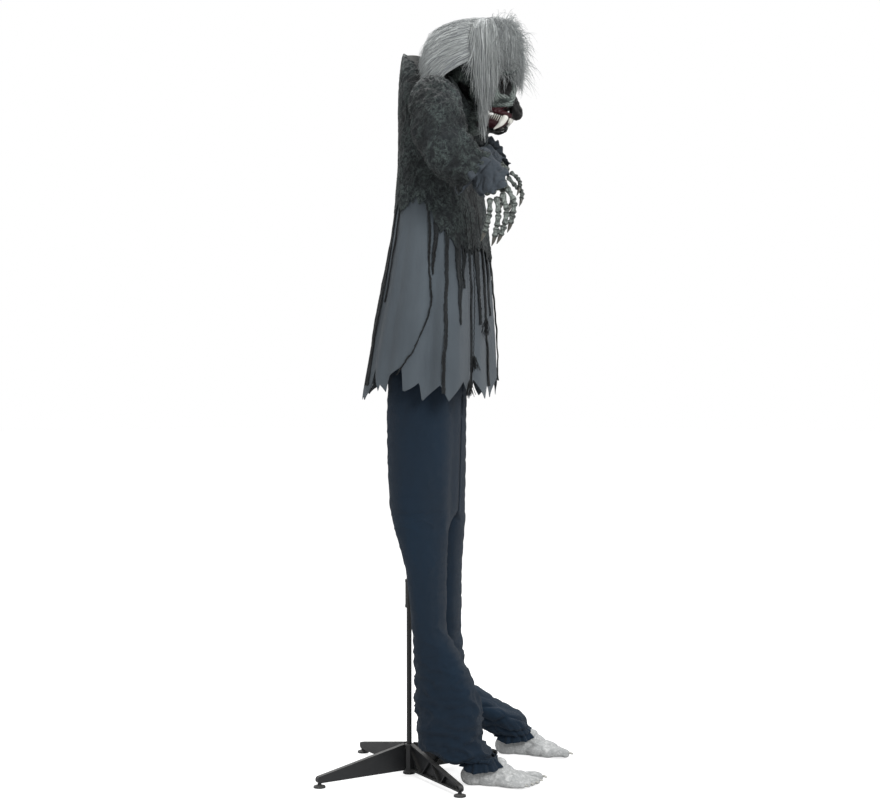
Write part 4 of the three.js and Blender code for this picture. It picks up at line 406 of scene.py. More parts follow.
MASK_SKIN = skin_finish("wolf_mask_latex", "161b1a", "3b4644", "74817c", 55.0)
HAND_SKIN = skin_finish("bony_hand_latex", "131718", "66706c", "b4bcb6", 95.0)
FOOT_SKIN = skin_finish("bare_foot_latex", "6c7072", "c9cbcb", "e8e9e8", 70.0, 0.0005, crease=0.5)
CLAW_HORN = hard_finish("claw_horn", "2b2b29", "6c6a62", (0.25, 0.45), patch=90.0, grain=300.0, dust=0.1)
NAIL_HORN = hard_finish("toe_nail_horn", "8f8f8a", "c9c8c2", (0.25, 0.4), patch=120.0, grain=400.0, dust=0.05)
HAIR = hair_finish("grey_hair")
IVORY = tooth_finish()
FINISHES["eye_lens"] = lens_finish()
print("skins", MASK_SKIN.name, HAND_SKIN.name, FOOT_SKIN.name, "hair", HAIR.name)

# %% [markdown]
# The CAD nodes that stay in sight, or that show when the cover is off, keep their shape and get
# their finish by the material slot that the record gives them.

# %% Finish the CAD nodes
for row in frame["record"]["subparts"]:
    finish = FINISHES.get(row["material_slot"])
    if finish:
        slots = frame["nodes"][row["node"]].data.materials
        slots.clear()
        slots.append(finish)
print("CAD nodes", len(frame["nodes"]), "finishes", sorted(FINISHES))

# %% [markdown]
# The room. The floor and the backdrop are plain white. The floor also glows a little for the camera, so
# that it stays white while a soft shadow under the feet and the stand remains.

# %% Room and lights
FLOOR_RADIUS = 14
FLOOR_DROP = 0.001  # the floor lies this far under the feet, so that the two never share a plane
FLOOR_GREY = 0.62
FLOOR_GLOW = 0.72
WORLD_LIGHT = 0.55
LIGHTS = [  # name, place, aim, side of the square, power in watts
    ("key", (-3.0, -2.8, 3.0), (0, -0.1, 1.0), 1.6, 130),
    ("fill", (-3.4, 2.2, 1.6), (0, 0, 1.0), 2.0, 22),
    ("crown", (1.2, 0.6, 3.4), (0, -0.1, 1.5), 1.4, 60),
]


def white_room():
    """A round floor whose colour is a diffuse white plus a glow that only the camera sees."""
    place = (0, 0, -FLOOR_DROP)
    bpy.ops.mesh.primitive_circle_add(vertices=96, radius=FLOOR_RADIUS, fill_type="NGON", location=place)
    floor = bpy.context.object
    floor.name = "floor"
    material = bpy.data.materials.new("white_floor")
    material.use_nodes = True
    tree = material.node_tree
    seen = node(tree, "LightPath").outputs["Is Camera Ray"]
    strength = maths(tree, "MULTIPLY", seen, FLOOR_GLOW)
    glow = node(tree, "Emission", {"Color": (1, 1, 1, 1), "Strength": strength})
    matt = node(tree, "BsdfDiffuse", {"Color": (FLOOR_GREY, FLOOR_GREY, FLOOR_GREY, 1)})
    both = node(tree, "AddShader", {0: matt.outputs[0], 1: glow.outputs[0]})
    tree.links.new(both.outputs[0], tree.nodes["Material Output"].inputs["Surface"])
    floor.data.materials.append(material)
    return floor


def white_world(strength):
    """White for the camera, in mirrors and through glass, and an even grey light on the figure."""
    world = bpy.data.worlds.new("studio")
    scene.world = world
    world.use_nodes = True
    tree = world.node_tree
    path = node(tree, "LightPath").outputs
    looked = maths(tree, "MAXIMUM", path["Is Camera Ray"], path["Is Transmission Ray"])
    seen = maths(tree, "MAXIMUM", looked, path["Is Glossy Ray"])
    level = node(tree, "MapRange", {0: seen, 3: strength, 4: 1.0}).outputs[0]
    tree.links.new(level, tree.nodes["Background"].inputs["Strength"])
    tree.nodes["Background"].inputs["Color"].default_value = (1, 1, 1, 1)


def soft_light(name, place, aim, size, power):
    """A square area light that faces its aim."""
    lamp = bpy.data.lights.new(name, "AREA")
    lamp.size, lamp.energy = size, power
    made = bpy.data.objects.new(name, lamp)
    made.location = place
    made.rotation_mode = "QUATERNION"
    made.rotation_quaternion = (Vector(aim) - Vector(place)).to_track_quat("-Z", "Y")
    scene.collection.objects.link(made)
    return made


floor = white_room()
white_world(WORLD_LIGHT)
lights = [soft_light(*light) for light in LIGHTS]
print("floor", floor.name, "lights", [(light.name, light.data.energy) for light in lights])

# %% [markdown]
# Surfaces. A grid of points has rows along a piece and columns round it. Quads join neighbours, and a
# round piece joins its last column to its first. A fan of triangles closes an end where it needs one.

# %% Helpers for surfaces
MM = 0.001
TURN = 2 * np.pi
CLOTH_WALL = 1.2
GAUZE_WALL = 1.0


def grid_faces(rows, columns, wrapped=True):
    """Four corners for each cell of a rows by columns grid, and the cell's place as (row, column)."""
    across = columns if wrapped else columns - 1
    row, column = np.meshgrid(np.arange(rows - 1), np.arange(across), indexing="ij")
    right = (column + 1) % columns
    corners = np.stack([row * columns + column, row * columns + right,
                        (row + 1) * columns + right, (row + 1) * columns + column], -1)
    return corners.reshape(-1, 4), row.ravel(), column.ravel()


def cell_corners(row, column, size):
    """The four corners of each cell on the flat cloth, where size is a cell's width and length in metres."""
    u = np.stack([column, column + 1, column + 1, column], 1) * size[0]
    v = np.stack([row, row, row + 1, row + 1], 1) * size[1]
    return np.stack([u, v], -1)


def add_mesh(name, points, faces, material, masks=None, corner_uv=None):
    """Makes an object from points in millimetres. Where the faces look inwards on the whole, they are
    turned: the sum of each face's normal times its place is three times the volume, which is positive when
    they look out."""
    mesh = bpy.data.meshes.new(name)
    mesh.from_pydata(np.asarray(points, float) * MM, [], faces)
    count = len(mesh.polygons)
    normals, centres, areas = np.empty(count * 3), np.empty(count * 3), np.empty(count)
    mesh.polygons.foreach_get("normal", normals)
    mesh.polygons.foreach_get("center", centres)
    mesh.polygons.foreach_get("area", areas)
    centres = centres.reshape(-1, 3) - centres.reshape(-1, 3).mean(0)
    if corner_uv is not None:
        layer = mesh.uv_layers.new(name="cloth")
        layer.data.foreach_set("uv", np.asarray(corner_uv, np.float32).ravel())
    if ((normals.reshape(-1, 3) * centres).sum(1) * areas).sum() < 0:
        mesh.flip_normals()
    mesh.shade_smooth()
    mesh.materials.append(material)
    for label, values in (masks or {}).items():
        mesh.attributes.new(label, "FLOAT", "POINT").data.foreach_set("value", np.asarray(values, np.float32))
    made = bpy.data.objects.new(name, mesh)
    scene.collection.objects.link(made)
    return made


def closed_ends(rings):
    """A closed solid from rings: quads between rows and a fan of triangles round each end's middle."""
    rows, columns = rings.shape[:2]
    faces = grid_faces(rows, columns)[0].tolist()
    points = np.vstack([rings.reshape(-1, 3), rings[0].mean(0), rings[-1].mean(0)])
    here = np.arange(columns)
    after = np.roll(here, -1)
    last = (rows - 1) * columns
    faces += np.stack([after, here, np.full(columns, rows * columns)], 1).tolist()
    faces += np.stack([last + here, last + after, np.full(columns, rows * columns + 1)], 1).tolist()
    return points, faces


def unit(vectors):
    """Each vector at length one."""
    return vectors / np.maximum(np.linalg.norm(vectors, axis=-1, keepdims=True), 1e-9)


def curve_between(a, b, c, d, f):
    """Catmull-Rom: the point a share f of the way from b to c, with a before them and d after them."""
    bend = (2 * a - 5 * b + 4 * c - d) * f ** 2
    return 0.5 * (2 * b + (c - a) * f + bend + (3 * b - a - 3 * c + d) * f ** 3)


def smooth_path(points, count):
    """A Catmull-Rom curve through the points, sampled at equal steps of its length."""
    points = np.asarray(points, float)
    held = np.vstack([2 * points[0] - points[1], points, 2 * points[-1] - points[-2]])
    t = np.linspace(0, len(points) - 1, 40 * len(points))
    k = np.minimum(t.astype(int), len(points) - 2)
    curve = curve_between(held[k], held[k + 1], held[k + 2], held[k + 3], (t - k)[:, None])
    length = np.concatenate([[0], np.cumsum(np.linalg.norm(np.diff(curve, axis=0), axis=1))])
    even = np.linspace(0, length[-1], count)
    return np.stack([np.interp(even, length, column) for column in curve.T], 1)


def path_axes(path, start_up):
    """Two directions square to the path at each row, carried from row to row, so that they never spin."""
    along = unit(np.gradient(path, axis=0))
    over = np.empty_like(path)
    up = np.asarray(start_up, float)
    for row, way in enumerate(along):
        up = up - way * (up @ way)
        up /= np.linalg.norm(up)
        over[row] = up
    return np.cross(over, along), over


def tube(path, across, over, start_up, columns):
    """Rings round a path: centre + across * cos(turn) + over * sin(turn), with sizes that may change by row
    or by row and column."""
    side, up = path_axes(path, start_up)
    turns = np.linspace(0, TURN, columns, endpoint=False)
    wide = (np.zeros((len(path), 1)) + across) * np.cos(turns)
    deep = (np.zeros((len(path), 1)) + over) * np.sin(turns)
    return path[:, None] + wide[..., None] * side[:, None] + deep[..., None] * up[:, None]


def waves(places, length, count, seed, stretch=(1, 1, 1)):
    """Smooth noise from -1 to 1: plane sine waves of about one length, in random directions, added up."""
    draw = np.random.default_rng(seed)
    ways = unit(draw.normal(size=(count, 3))) * TURN / length * draw.uniform(0.7, 1.4, (count, 1))
    phases = draw.uniform(0, TURN, count)
    return np.sin((np.asarray(places) * stretch) @ ways.T + phases).sum(-1) / np.sqrt(count / 2) / 1.6


def ridges(places, length, count, seed, stretch=(1, 1, 1)):
    """Sharp creases from 0 to 1: one minus the size of the waves, so that each zero line becomes a ridge."""
    return 1 - np.minimum(np.abs(waves(places, length, count, seed, stretch)) * 1.6, 1)


def outward(rings):
    """The direction that leaves each point of a wrapped grid, square to its rows and columns."""
    around = np.roll(rings, -1, 1) - np.roll(rings, 1, 1)
    return unit(np.cross(around, np.gradient(rings, axis=0)))


def ease(values, low, high):
    """0 below low, 1 above high and a smooth step between."""
    share = np.clip((values - low) / (high - low), 0, 1)
    return share * share * (3 - 2 * share)


def rows_at(levels, table):
    """The columns of a table whose first one is the level, at the given levels, rounded between its rows."""
    table = np.asarray(sorted(table), float)
    sizes = np.stack([np.interp(levels, table[:, 0], table[:, i]) for i in range(1, table.shape[1])], 1)
    span = max(3, len(levels) // 16) | 1
    padded = np.pad(sizes, ((span // 2, span // 2), (0, 0)), mode="edge")
    return np.stack([np.convolve(column, np.ones(span) / span, "valid") for column in padded.T], 1)


def level_ring(turns, half_width, front, back, power=2.5):
    """A rounded box seen from above: x and y are the cosine and sine to the power of 2 over `power`."""
    c, s = np.cos(turns), np.sin(turns)
    x = np.sign(c) * np.abs(c) ** (2 / power) * half_width
    y = (back - front) / 2 + np.sign(s) * np.abs(s) ** (2 / power) * (back + front) / 2
    return x, y


def cloth_sheet(name, rings, material, wall=CLOTH_WALL):
    """A sheet that closes on itself round the piece, with a woven UV map in metres and a real thickness.
    Returns it with its cut: width and length of the flat cloth and its area, in metres."""
    rows, columns = rings.shape[:2]
    faces, row, column = grid_faces(rows, columns)
    girth = np.linalg.norm(np.roll(rings, -1, 1) - rings, axis=2).sum(1)
    fall = np.linalg.norm(np.diff(rings, axis=0), axis=2).mean(1)
    down = np.concatenate([[0], np.cumsum(fall)])
    u = np.stack([column, column + 1, column + 1, column], 1) / columns * girth.mean() * MM
    v = down[np.stack([row, row, row + 1, row + 1], 1)] * MM
    made = add_mesh(name, rings.reshape(-1, 3), faces, material, corner_uv=np.stack([u, v], -1))
    solidify = made.modifiers.new("thickness", "SOLIDIFY")
    solidify.thickness = wall * MM
    solidify.offset = -1
    cut = {"flat": (girth.max() * MM, down[-1] * MM), "area": girth.mean() * down[-1] * MM ** 2}
    print(name, "flat", [round(side, 3) for side in cut["flat"]], "m, area", round(cut["area"], 3))
    return made, cut


def settle(made, body, slot, *stands_for):
    """Every finished piece rides on a body and may stand for CAD nodes; slot is not used."""
    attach(made, body)
    if stands_for:
        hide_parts(*stands_for)
    return made

# %% [markdown]
# The shirt is a wide sack: it hangs straight at the back, flares towards the hem and ends in a hem cut
# into big teeth. It is one sheet round the body. Its outline at each height is a rounded box, and
# folds that deepen towards the hem are sums of sine waves round it. The hem's teeth are a curve of
# height over the turn, where 90 degrees is the back, 180 the right side and 270 the front.

# %% Shirt
SHIRT_ROWS = [  # height, half width, front, back
    (873, 203, 186, 88), (905, 199, 184, 83), (1005, 191, 181, 65), (1120, 181, 176, 43),
    (1221, 170, 169, 25), (1303, 157, 160, 14), (1362, 146, 152, 12), (1417, 137, 146, 11.5),
    (1470, 132, 144, 11.5), (1530, 129, 126, 11.5), (1575, 112, 97, 11.5), (1604, 92, 70, 11.5),
]
HEM_RIGHT = [  # turn in degrees, height above the lowest tooth
    (90, 8), (112, 36), (123, 0), (126, 9), (131, 0), (140, 22), (147, 76), (156.5, 22), (157.5, 36),
    (164, 20), (165.5, 56), (176, 76), (178, 20), (187, 42), (190, 0), (205, 36), (213, 0), (229, 43),
    (238, 4), (250, 46), (262, 0), (270, 30),
]
HEM_LOW = 872
SHIRT_TOP = 1512
SHIRT_COLUMNS = 336
SHIRT_STEPS = 110
SHIRT_CROWDING = 1.15  # above 1 the rows lie closer together near the hem
SHIRT_LIFT = 2.8  # how far the cloth stands off the body
PROFILE_STEPS = 240
FOLDED = (880, 1420)  # heights between which the folds fade out upwards
TIGHT = (1330, 1400)  # heights between which the cloth closes on the body
SLACK = {"depth": 0.8, "reach": 150, "length": 120}  # slow unevenness of the hanging cloth
FOLDS = [(5, 7.5, 0.4), (8, 6.0, 2.1), (13, 3.5, 4.4), (21, 1.5, 1.2)]  # count round, depth, phase


def hem_height(turns, base, teeth):
    """The hem's height over the turn, read off the table of teeth; the left side mirrors the right one."""
    degrees = np.degrees(turns) % 360
    degrees = np.where((degrees < 90) | (degrees > 270), (180 - degrees) % 360, degrees)
    return base + np.interp(degrees, *np.array(teeth).T)


def body_surface(turns, heights, lift):
    """Points of the clothed body at turns and heights, both rows by columns, pushed out by lift, which
    shrinks where the cloth lies tight on the back and the shoulders."""
    levels = np.linspace(SHIRT_ROWS[0][0], SHIRT_ROWS[-1][0], PROFILE_STEPS)
    sizes = rows_at(levels, SHIRT_ROWS)
    half_width, front, back = (np.interp(heights, levels, sizes[:, i]) for i in range(3))
    fall = 1 - ease(heights, *FOLDED)
    fold = sum(depth * np.sin(count * turns + phase + 0.6 * fall) for count, depth, phase in FOLDS)
    spots = np.stack([turns * SLACK["reach"], heights * 0.4, heights * 0], -1)
    fold = fold * fall + SLACK["depth"] * fall * waves(spots, SLACK["length"], 12, 5)
    close = lift * (1 - 0.75 * ease(heights, *TIGHT))
    snug = close * (0.45 + 0.55 * fall)
    x, y = level_ring(turns, half_width + close + fold, front + close + fold, back + snug + fold)
    return np.stack([x, y, heights], -1)


turns = np.linspace(0, TURN, SHIRT_COLUMNS, endpoint=False)[None]
hem = hem_height(turns, HEM_LOW, HEM_RIGHT)
share = np.linspace(0, 1, SHIRT_STEPS)[:, None] ** SHIRT_CROWDING
shirt_rings = body_surface(turns + 0 * share, hem + share * (SHIRT_TOP - hem), SHIRT_LIFT)
shirt, shirt_cut = cloth_sheet("shirt_cloth", shirt_rings, SHIRT_CLOTH)
settle(shirt, "root", "grey_cloth", "shirt")

# %% [markdown]
# Over the shirt lies a cape of black gauze that covers the breast, the hunched back and the
# shoulders, and ends in a ragged edge at the waist. It follows the body's outline up to the
# shoulders and then domes over to a slanted neck opening, low in front and high behind. Its
# crumple is real geometry: ridged noise at two sizes pushes it outwards.

# %% Gauze cape
CAPE_EDGES = [  # turn in degrees, height of the lower edge
    (0, 1268), (60, 1240), (88, 1262), (104, 1296), (176, 1302), (200, 1252), (236, 1190), (270, 1204),
    (310, 1180), (345, 1240), (360, 1268),
]
CAPE_SHOULDER = 1500
CAPE_COLUMNS = 330
CAPE_STEPS = {"rise": 84, "dome": 56}
CAPE_LIFT = SHIRT_LIFT + 4
SHOULDER_RING = {"half_width": 134, "front": 146, "back": 13}
NECK_RING = {"half_width": 71, "front": 126, "back": 8, "front_height": 1548, "back_height": 1657}
RAGGED = 17
CAPE_RIDGES = {"depth": 3.2, "fine": 1.5, "size": 24, "floor": 0.1}
BACK_SHARE = 0.75  # how much of the crumple the back loses, where the gauze lies taut


def crumpled(rings, depth, fine, size, seed=3, floor=0.5):
    """Pushes a surface out along its own normal by coarse and fine ridges; depth and fine are in
    millimetres, and floor is the share of them by which the hollows sink."""
    places = rings.reshape(-1, 3)
    coarse = ridges(places, size, 9, seed, (1, 1, 0.8)) - floor
    small = ridges(places, size * 0.42, 9, seed + 1) - floor
    return rings + outward(rings) * (depth * coarse + fine * small).reshape(rings.shape[:2])[..., None]


def ragged_edge(turns, base, depth, seed):
    """A torn edge: slow and quick waves of height round the piece."""
    places = np.stack([np.cos(turns), np.sin(turns), 0 * turns], -1) * 160
    return base + depth * (0.6 * waves(places, 90, 10, seed) + 0.5 * waves(places, 22, 10, seed + 1))


cape_turns = np.linspace(0, TURN, CAPE_COLUMNS, endpoint=False)[None]
edge = ragged_edge(cape_turns, np.interp(np.degrees(cape_turns), *np.array(CAPE_EDGES).T), RAGGED, 11)
rise = np.linspace(0, 1, CAPE_STEPS["rise"])[:, None]
lower = body_surface(cape_turns + 0 * rise, edge + rise * (CAPE_SHOULDER - edge), CAPE_LIFT)
swing = np.linspace(0, 1, CAPE_STEPS["dome"])[1:, None]
shoulder_x, shoulder_y = level_ring(cape_turns, **SHOULDER_RING)
neck_half, neck_front, neck_back = (NECK_RING[key] for key in ("half_width", "front", "back"))
neck_x, neck_y = level_ring(cape_turns, neck_half, neck_front, neck_back, power=2.0)
slope = (neck_y + neck_front) / (neck_front + neck_back)
neck_z = NECK_RING["front_height"] + slope * (NECK_RING["back_height"] - NECK_RING["front_height"])
inward, upward = 1 - np.cos(swing * np.pi / 2), np.sin(swing * np.pi / 2)
dome = np.stack([shoulder_x + (neck_x - shoulder_x) * inward, shoulder_y + (neck_y - shoulder_y) * inward,
                 CAPE_SHOULDER + (neck_z - CAPE_SHOULDER) * upward], -1)
cape_base = np.concatenate([lower, dome])
on_back = ease(cape_base[..., 1:2], -30, 4)
cape_rings = cape_base + (crumpled(cape_base, **CAPE_RIDGES) - cape_base) * (1 - BACK_SHARE * on_back)
cape, cape_cut = cloth_sheet("gauze_cape_cloth", cape_rings, GAUZE, GAUZE_WALL)
settle(cape, "root", "black_gauze", "gauze_cape")

YOKE = {"radius": 49, "inner": 92, "outer": 149, "steps": 22, "columns": 96}
SHOULDER = {"y": -96, "z": 1538}
SIDES = {-1: "right", 1: "left"}
COLLAR = {"half_width": 61, "half_depth": 56, "middle": -112, "low": 1478, "rise": 118}
COLLAR_STEPS = 30
COLLAR_COLUMNS = 128


def yoke(side):
    """The short gauze tube that leads from the cape to the sleeve's rim, square to the shoulder's axis."""
    start = [side * YOKE["inner"], SHOULDER["y"], SHOULDER["z"] - 2]
    end = [side * YOKE["outer"], SHOULDER["y"], SHOULDER["z"] - 1]
    path = np.linspace(start, end, YOKE["steps"])
    rings = tube(path, YOKE["radius"], YOKE["radius"], (0, 0, 1), YOKE["columns"])
    made = cloth_sheet("gauze_yoke_" + SIDES[side], crumpled(rings, 2.4, 1.2, 24, 21), GAUZE, GAUZE_WALL)[0]
    return settle(made, "root", "black_gauze")


def collar():
    """The gauze that is bunched round the neck: an oval tube, low at the throat and high behind the ears.
    Its height is a plane that leans with the turn, and its width ripples nine times round."""
    turn = np.linspace(0, TURN, COLLAR_COLUMNS, endpoint=False)[None]
    up = np.linspace(0, 1, COLLAR_STEPS)[:, None]
    front = ease(-np.sin(turn), -0.2, 1)
    wide = 1 + 0.06 * np.sin(9 * turn + 5 * up) + 0.12 * (1 - up) - 0.05 * up
    height = COLLAR["low"] + 12 * front + (COLLAR["rise"] - 92 * front) * up
    across = COLLAR["half_width"] * wide * np.cos(turn)
    deep = COLLAR["middle"] + COLLAR["half_depth"] * wide * np.sin(turn) - 6 * up
    rings = np.stack([across, deep, height], -1)
    made = cloth_sheet("gauze_collar", crumpled(rings, 4.0, 1.6, 22, 44), GAUZE, GAUZE_WALL)[0]
    return settle(made, "root", "black_gauze")


yokes = [yoke(side) for side in SIDES] + [collar()]
print("cape", cape.name, "with", [piece.name for piece in yokes])

# %% [markdown]
# Torn strips of the same gauze hang over the shirt. Each is a narrow grid on the body's surface from
# one turn and height to another, with a width that changes on the way and edges frayed by noise.
# Three thin twisted strings with a frayed knot hang at the breast.

# %% Gauze strips and strings
STRIPS = [  # turn and height at the top, then at the bottom, width at the top and bottom
    (131, 1300, 133, 905, 34, 22), (146, 1310, 144, 1090, 12, 4), (184, 1310, 193, 1084, 10, 4),
    (193, 1084, 174, 930, 3, 2), (208, 1270, 208, 890, 14, 8), (196, 1290, 193, 1150, 30, 5),
    (222, 1250, 224, 1040, 34, 6), (244, 1225, 246, 900, 12, 6), (232, 1230, 230, 1120, 24, 5),
    (256, 1230, 257, 1040, 26, 5), (268, 1230, 270, 900, 8, 5), (49, 1300, 47, 915, 34, 20),
    (30, 1310, 33, 1110, 12, 4), (-4, 1310, -13, 1084, 10, 4), (-13, 1084, 6, 930, 3, 2),
    (-28, 1270, -28, 900, 13, 8), (-16, 1290, -13, 1130, 28, 5), (-42, 1250, -45, 1020, 30, 6),
    (-64, 1225, -66, 910, 12, 6), (-52, 1230, -50, 1110, 24, 5), (-78, 1230, -77, 1060, 24, 5),
    (90, 1280, 92, 1010, 18, 6), (76, 1280, 74, 1130, 14, 4), (104, 1300, 106, 1090, 12, 4),
]
STRIP_STEPS = 125
STRIP_COLUMNS = 8
STRIP_WALL = 0.8
STRIP_LIFT = SHIRT_LIFT + 3.6
BODY_RADIUS = 165  # the body's mean radius, which turns a strip's width into an angle
STRIP_CELL = (0.002, 0.0025)  # metres of cloth across and along one cell of the grid


def strip_surface(k, turn_top, top, turn_bottom, bottom, width_top, width_bottom):
    """A strip's grid, standing a few millimetres off the shirt. Its middle wanders slowly, its width
    shrinks on the way down and each edge frays by short waves of its own."""
    down = np.linspace(0, 1, STRIP_STEPS)[:, None]
    across = np.linspace(-0.5, 0.5, STRIP_COLUMNS)[None]
    height = top + (bottom - top) * down + 0 * across
    along = np.concatenate([down * (top - bottom), 0 * down, 0 * down + 9 * k], 1)
    wander = 0.012 * waves(along, 90, 6, 20 + k)[:, None] + 0.004 * waves(along, 26, 6, 30 + k)[:, None]
    sway = wander * np.sin(np.pi * np.minimum(down * 6, 0.5))
    middle = np.radians(turn_top + (turn_bottom - turn_top) * down) + sway
    width = width_top + (width_bottom - width_top) * down ** 0.6
    fray = [
        0.9 * waves(along, 8, 9, seed + k)[:, None] + 0.6 * waves(along, 3.6, 9, seed + 60 + k)[:, None]
        for seed in (40, 70)
    ]
    edge = np.where(across < 0, fray[0], fray[1]) * np.abs(across) * 2
    turns_here = middle + (across * width + np.sign(across) * edge) / BODY_RADIUS
    billow = 0.8 * waves(along, 40, 8, 90 + k)[:, None]
    lift = STRIP_LIFT + 1.6 * np.sin(across * np.pi * 2 + 9 * down + k) + billow
    return body_surface(turns_here, height, lift)


def joined_strips():
    """All the strips as one mesh of separate grids."""
    grids = np.stack([strip_surface(k, *strip) for k, strip in enumerate(STRIPS)])
    faces, row, column = grid_faces(STRIP_STEPS, STRIP_COLUMNS, wrapped=False)
    start = np.arange(len(grids))[:, None, None] * STRIP_STEPS * STRIP_COLUMNS
    uv = cell_corners(row, column, STRIP_CELL)
    return grids.reshape(-1, 3), (start + faces[None]).reshape(-1, 4), np.tile(uv, (len(grids), 1, 1))


strip_points, strip_faces, strip_uv = joined_strips()
strips = add_mesh("gauze_strips", strip_points, strip_faces, STRIP_GAUZE, corner_uv=strip_uv)
strips.modifiers.new("thickness", "SOLIDIFY").thickness = STRIP_WALL * MM
settle(strips, "root", "black_gauze")


def thread_tubes(paths, radii, sides, flat=1.0, spread=None):
    """Closed thin tubes for whole arrays of paths, strands by steps by 3, with a radius for each step. The
    offset is radius * (cos * across + flat * sin * over), where across follows spread if it is given; one
    face closes an end."""
    along = unit(np.gradient(paths, axis=1))
    over = unit(np.cross(along, np.broadcast_to([1.0, 0.05, 0.02], paths.shape)))
    across = np.cross(over, along)
    if spread is not None:
        across = unit(spread - along * (spread * along).sum(-1, keepdims=True))
    over = np.cross(along, across)
    turns = np.arange(sides) / sides * TURN
    ring = np.cos(turns)[:, None] * across[:, :, None] + flat * np.sin(turns)[:, None] * over[:, :, None]
    points = paths[:, :, None] + radii[..., None, None] * ring
    strands, steps = paths.shape[:2]
    cells = grid_faces(steps, sides)[0]
    base = np.arange(strands)[:, None, None] * steps * sides
    faces = (base + cells[None]).reshape(-1, 4).tolist()
    ends = np.arange(sides)
    faces += (base[:, :, 0] + ends[::-1]).tolist()
    faces += (base[:, :, 0] + (steps - 1) * sides + ends).tolist()
    return points.reshape(-1, 3), faces


STRINGS = {"turns": [236.0, 246.0, 262.0], "ends": [905.0, 960.0, 1040.0], "top": 1290.0, "radius": 1.1}
TASSEL = {"count": 26, "length": 20, "radius": 0.7}


def breast_strings():
    """Three thin strings that hang free from the breast: paths on the body's surface with a quick sine for
    the twist. The knot at each end is a spray of short threads."""
    draw = np.random.default_rng(12)
    drop = np.linspace(0, 1, 80)[None, :, None]
    turn = np.radians(STRINGS["turns"])[:, None, None]
    height = STRINGS["top"] + (np.array(STRINGS["ends"])[:, None, None] - STRINGS["top"]) * drop
    hang = body_surface(turn + 0.03 * np.sin(6 * drop + turn), height, SHIRT_LIFT + 9)[:, :, 0]
    hang = hang + 0.8 * np.sin(drop * 170 + turn * [[[0, 1, 2]]])
    points, faces = thread_tubes(hang, np.full(hang.shape[:2], STRINGS["radius"]), 6)
    spray = (len(STRINGS["turns"]), TASSEL["count"], 3)
    knots = hang[:, -1][:, None] + draw.normal(0, 2.5, spray)
    ends = (knots + draw.normal(0, 5, spray) * [1, 1, 0.4] - [0, 0, TASSEL["length"]]).reshape(-1, 1, 3)
    share = np.linspace(0, 1, 6)[None, :, None]
    tassel = knots.reshape(-1, 1, 3) * (1 - share) + ends * share + [0, 0, 9] * (1 - share)
    more, more_faces = thread_tubes(tassel, np.full(tassel.shape[:2], TASSEL["radius"]), 3)
    return np.vstack([points, more]), faces + [[i + len(points) for i in face] for face in more_faces]


strings = add_mesh("breast_strings", *breast_strings(), STRIP_GAUZE)
settle(strings, "root", "black_gauze")
print("strips", len(STRIPS), "and strings", len(STRINGS["turns"]))

# %% [markdown]
# Sleeves. Each is a slack gauze tube along a curve through the elbow, and it bends there. Its rim turns
# inside the cape's yoke, and its hem flares into an uneven ruffle over the wrist.

# %% Sleeves
SLEEVE_PATHS = {
    "right": [
        (-137, -96, 1538), (-178, -104, 1530), (-234, -124, 1496), (-264, -146, 1428), (-256, -184, 1386),
        (-247, -212, 1362),
    ],
    "left": [
        (137, -96, 1538), (180, -92, 1528), (240, -74, 1494), (281, -66, 1436), (270, -104, 1429),
        (256, -137, 1436),
    ],
}
SLEEVE_RADII = [46, 53, 57, 57, 53, 52]
SLEEVE_ROWS = 120
SLEEVE_COLUMNS = 140
SLEEVE_RIDGES = {"depth": 5.0, "fine": 2.2, "size": 24}
SLEEVE_SEEDS = {"right": 31, "left": 57}
HEM_FLARE = 7.0


def soften(made):
    """Applies the thickness, so that the mesh is final."""
    bpy.context.view_layer.objects.active = made
    bpy.ops.object.modifier_apply(modifier="thickness")


def sleeve(side):
    """A crumpled tube with a flared hem, bent between the upper arm and the forearm."""
    stops = np.array(SLEEVE_PATHS[side], float)
    path = smooth_path(stops, SLEEVE_ROWS)
    length = np.linspace(0, 1, SLEEVE_ROWS)
    radius = np.interp(length, np.linspace(0, 1, len(SLEEVE_RADII)), SLEEVE_RADII)[:, None]
    turns = np.linspace(0, TURN, SLEEVE_COLUMNS, endpoint=False)[None]
    flare = ease(length, 0.86, 1.0)[:, None]
    wobble = np.sin(9 * turns) + 0.7 * np.sin(14 * turns + 1) + 0.5 * np.sin(23 * turns)
    slack = 3.0 * np.sin(26 * length[:, None] + 1.3 * np.sin(turns)) * ease(length, 0.05, 0.3)[:, None]
    size = radius + slack + flare * HEM_FLARE * wobble * 0.5
    rings = tube(path, size, size, (0, 0, 1), SLEEVE_COLUMNS)
    pull = (1 - ease(length, 0.0, 0.06))[:, None, None]
    rings = rings * pull + crumpled(rings, **SLEEVE_RIDGES, seed=SLEEVE_SEEDS[side]) * (1 - pull)
    made, cut = cloth_sheet("gauze_sleeve_" + side, rings, GAUZE, GAUZE_WALL)
    soften(made)
    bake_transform(made)
    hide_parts("sleeve_upper_" + side, "sleeve_lower_" + side)
    return made


sleeves = [sleeve(side) for side in SLEEVE_PATHS]
print("sleeves", [piece.name for piece in sleeves])

# %% [markdown]
# Trousers. Each leg is a stack of rings between a front and a back outline. The two legs share one
# line at the crotch, and above it only their outer halves remain, so that the whole is one pair of
# trousers. Each leg sags into a bag over the foot and is drawn together above the ankle.

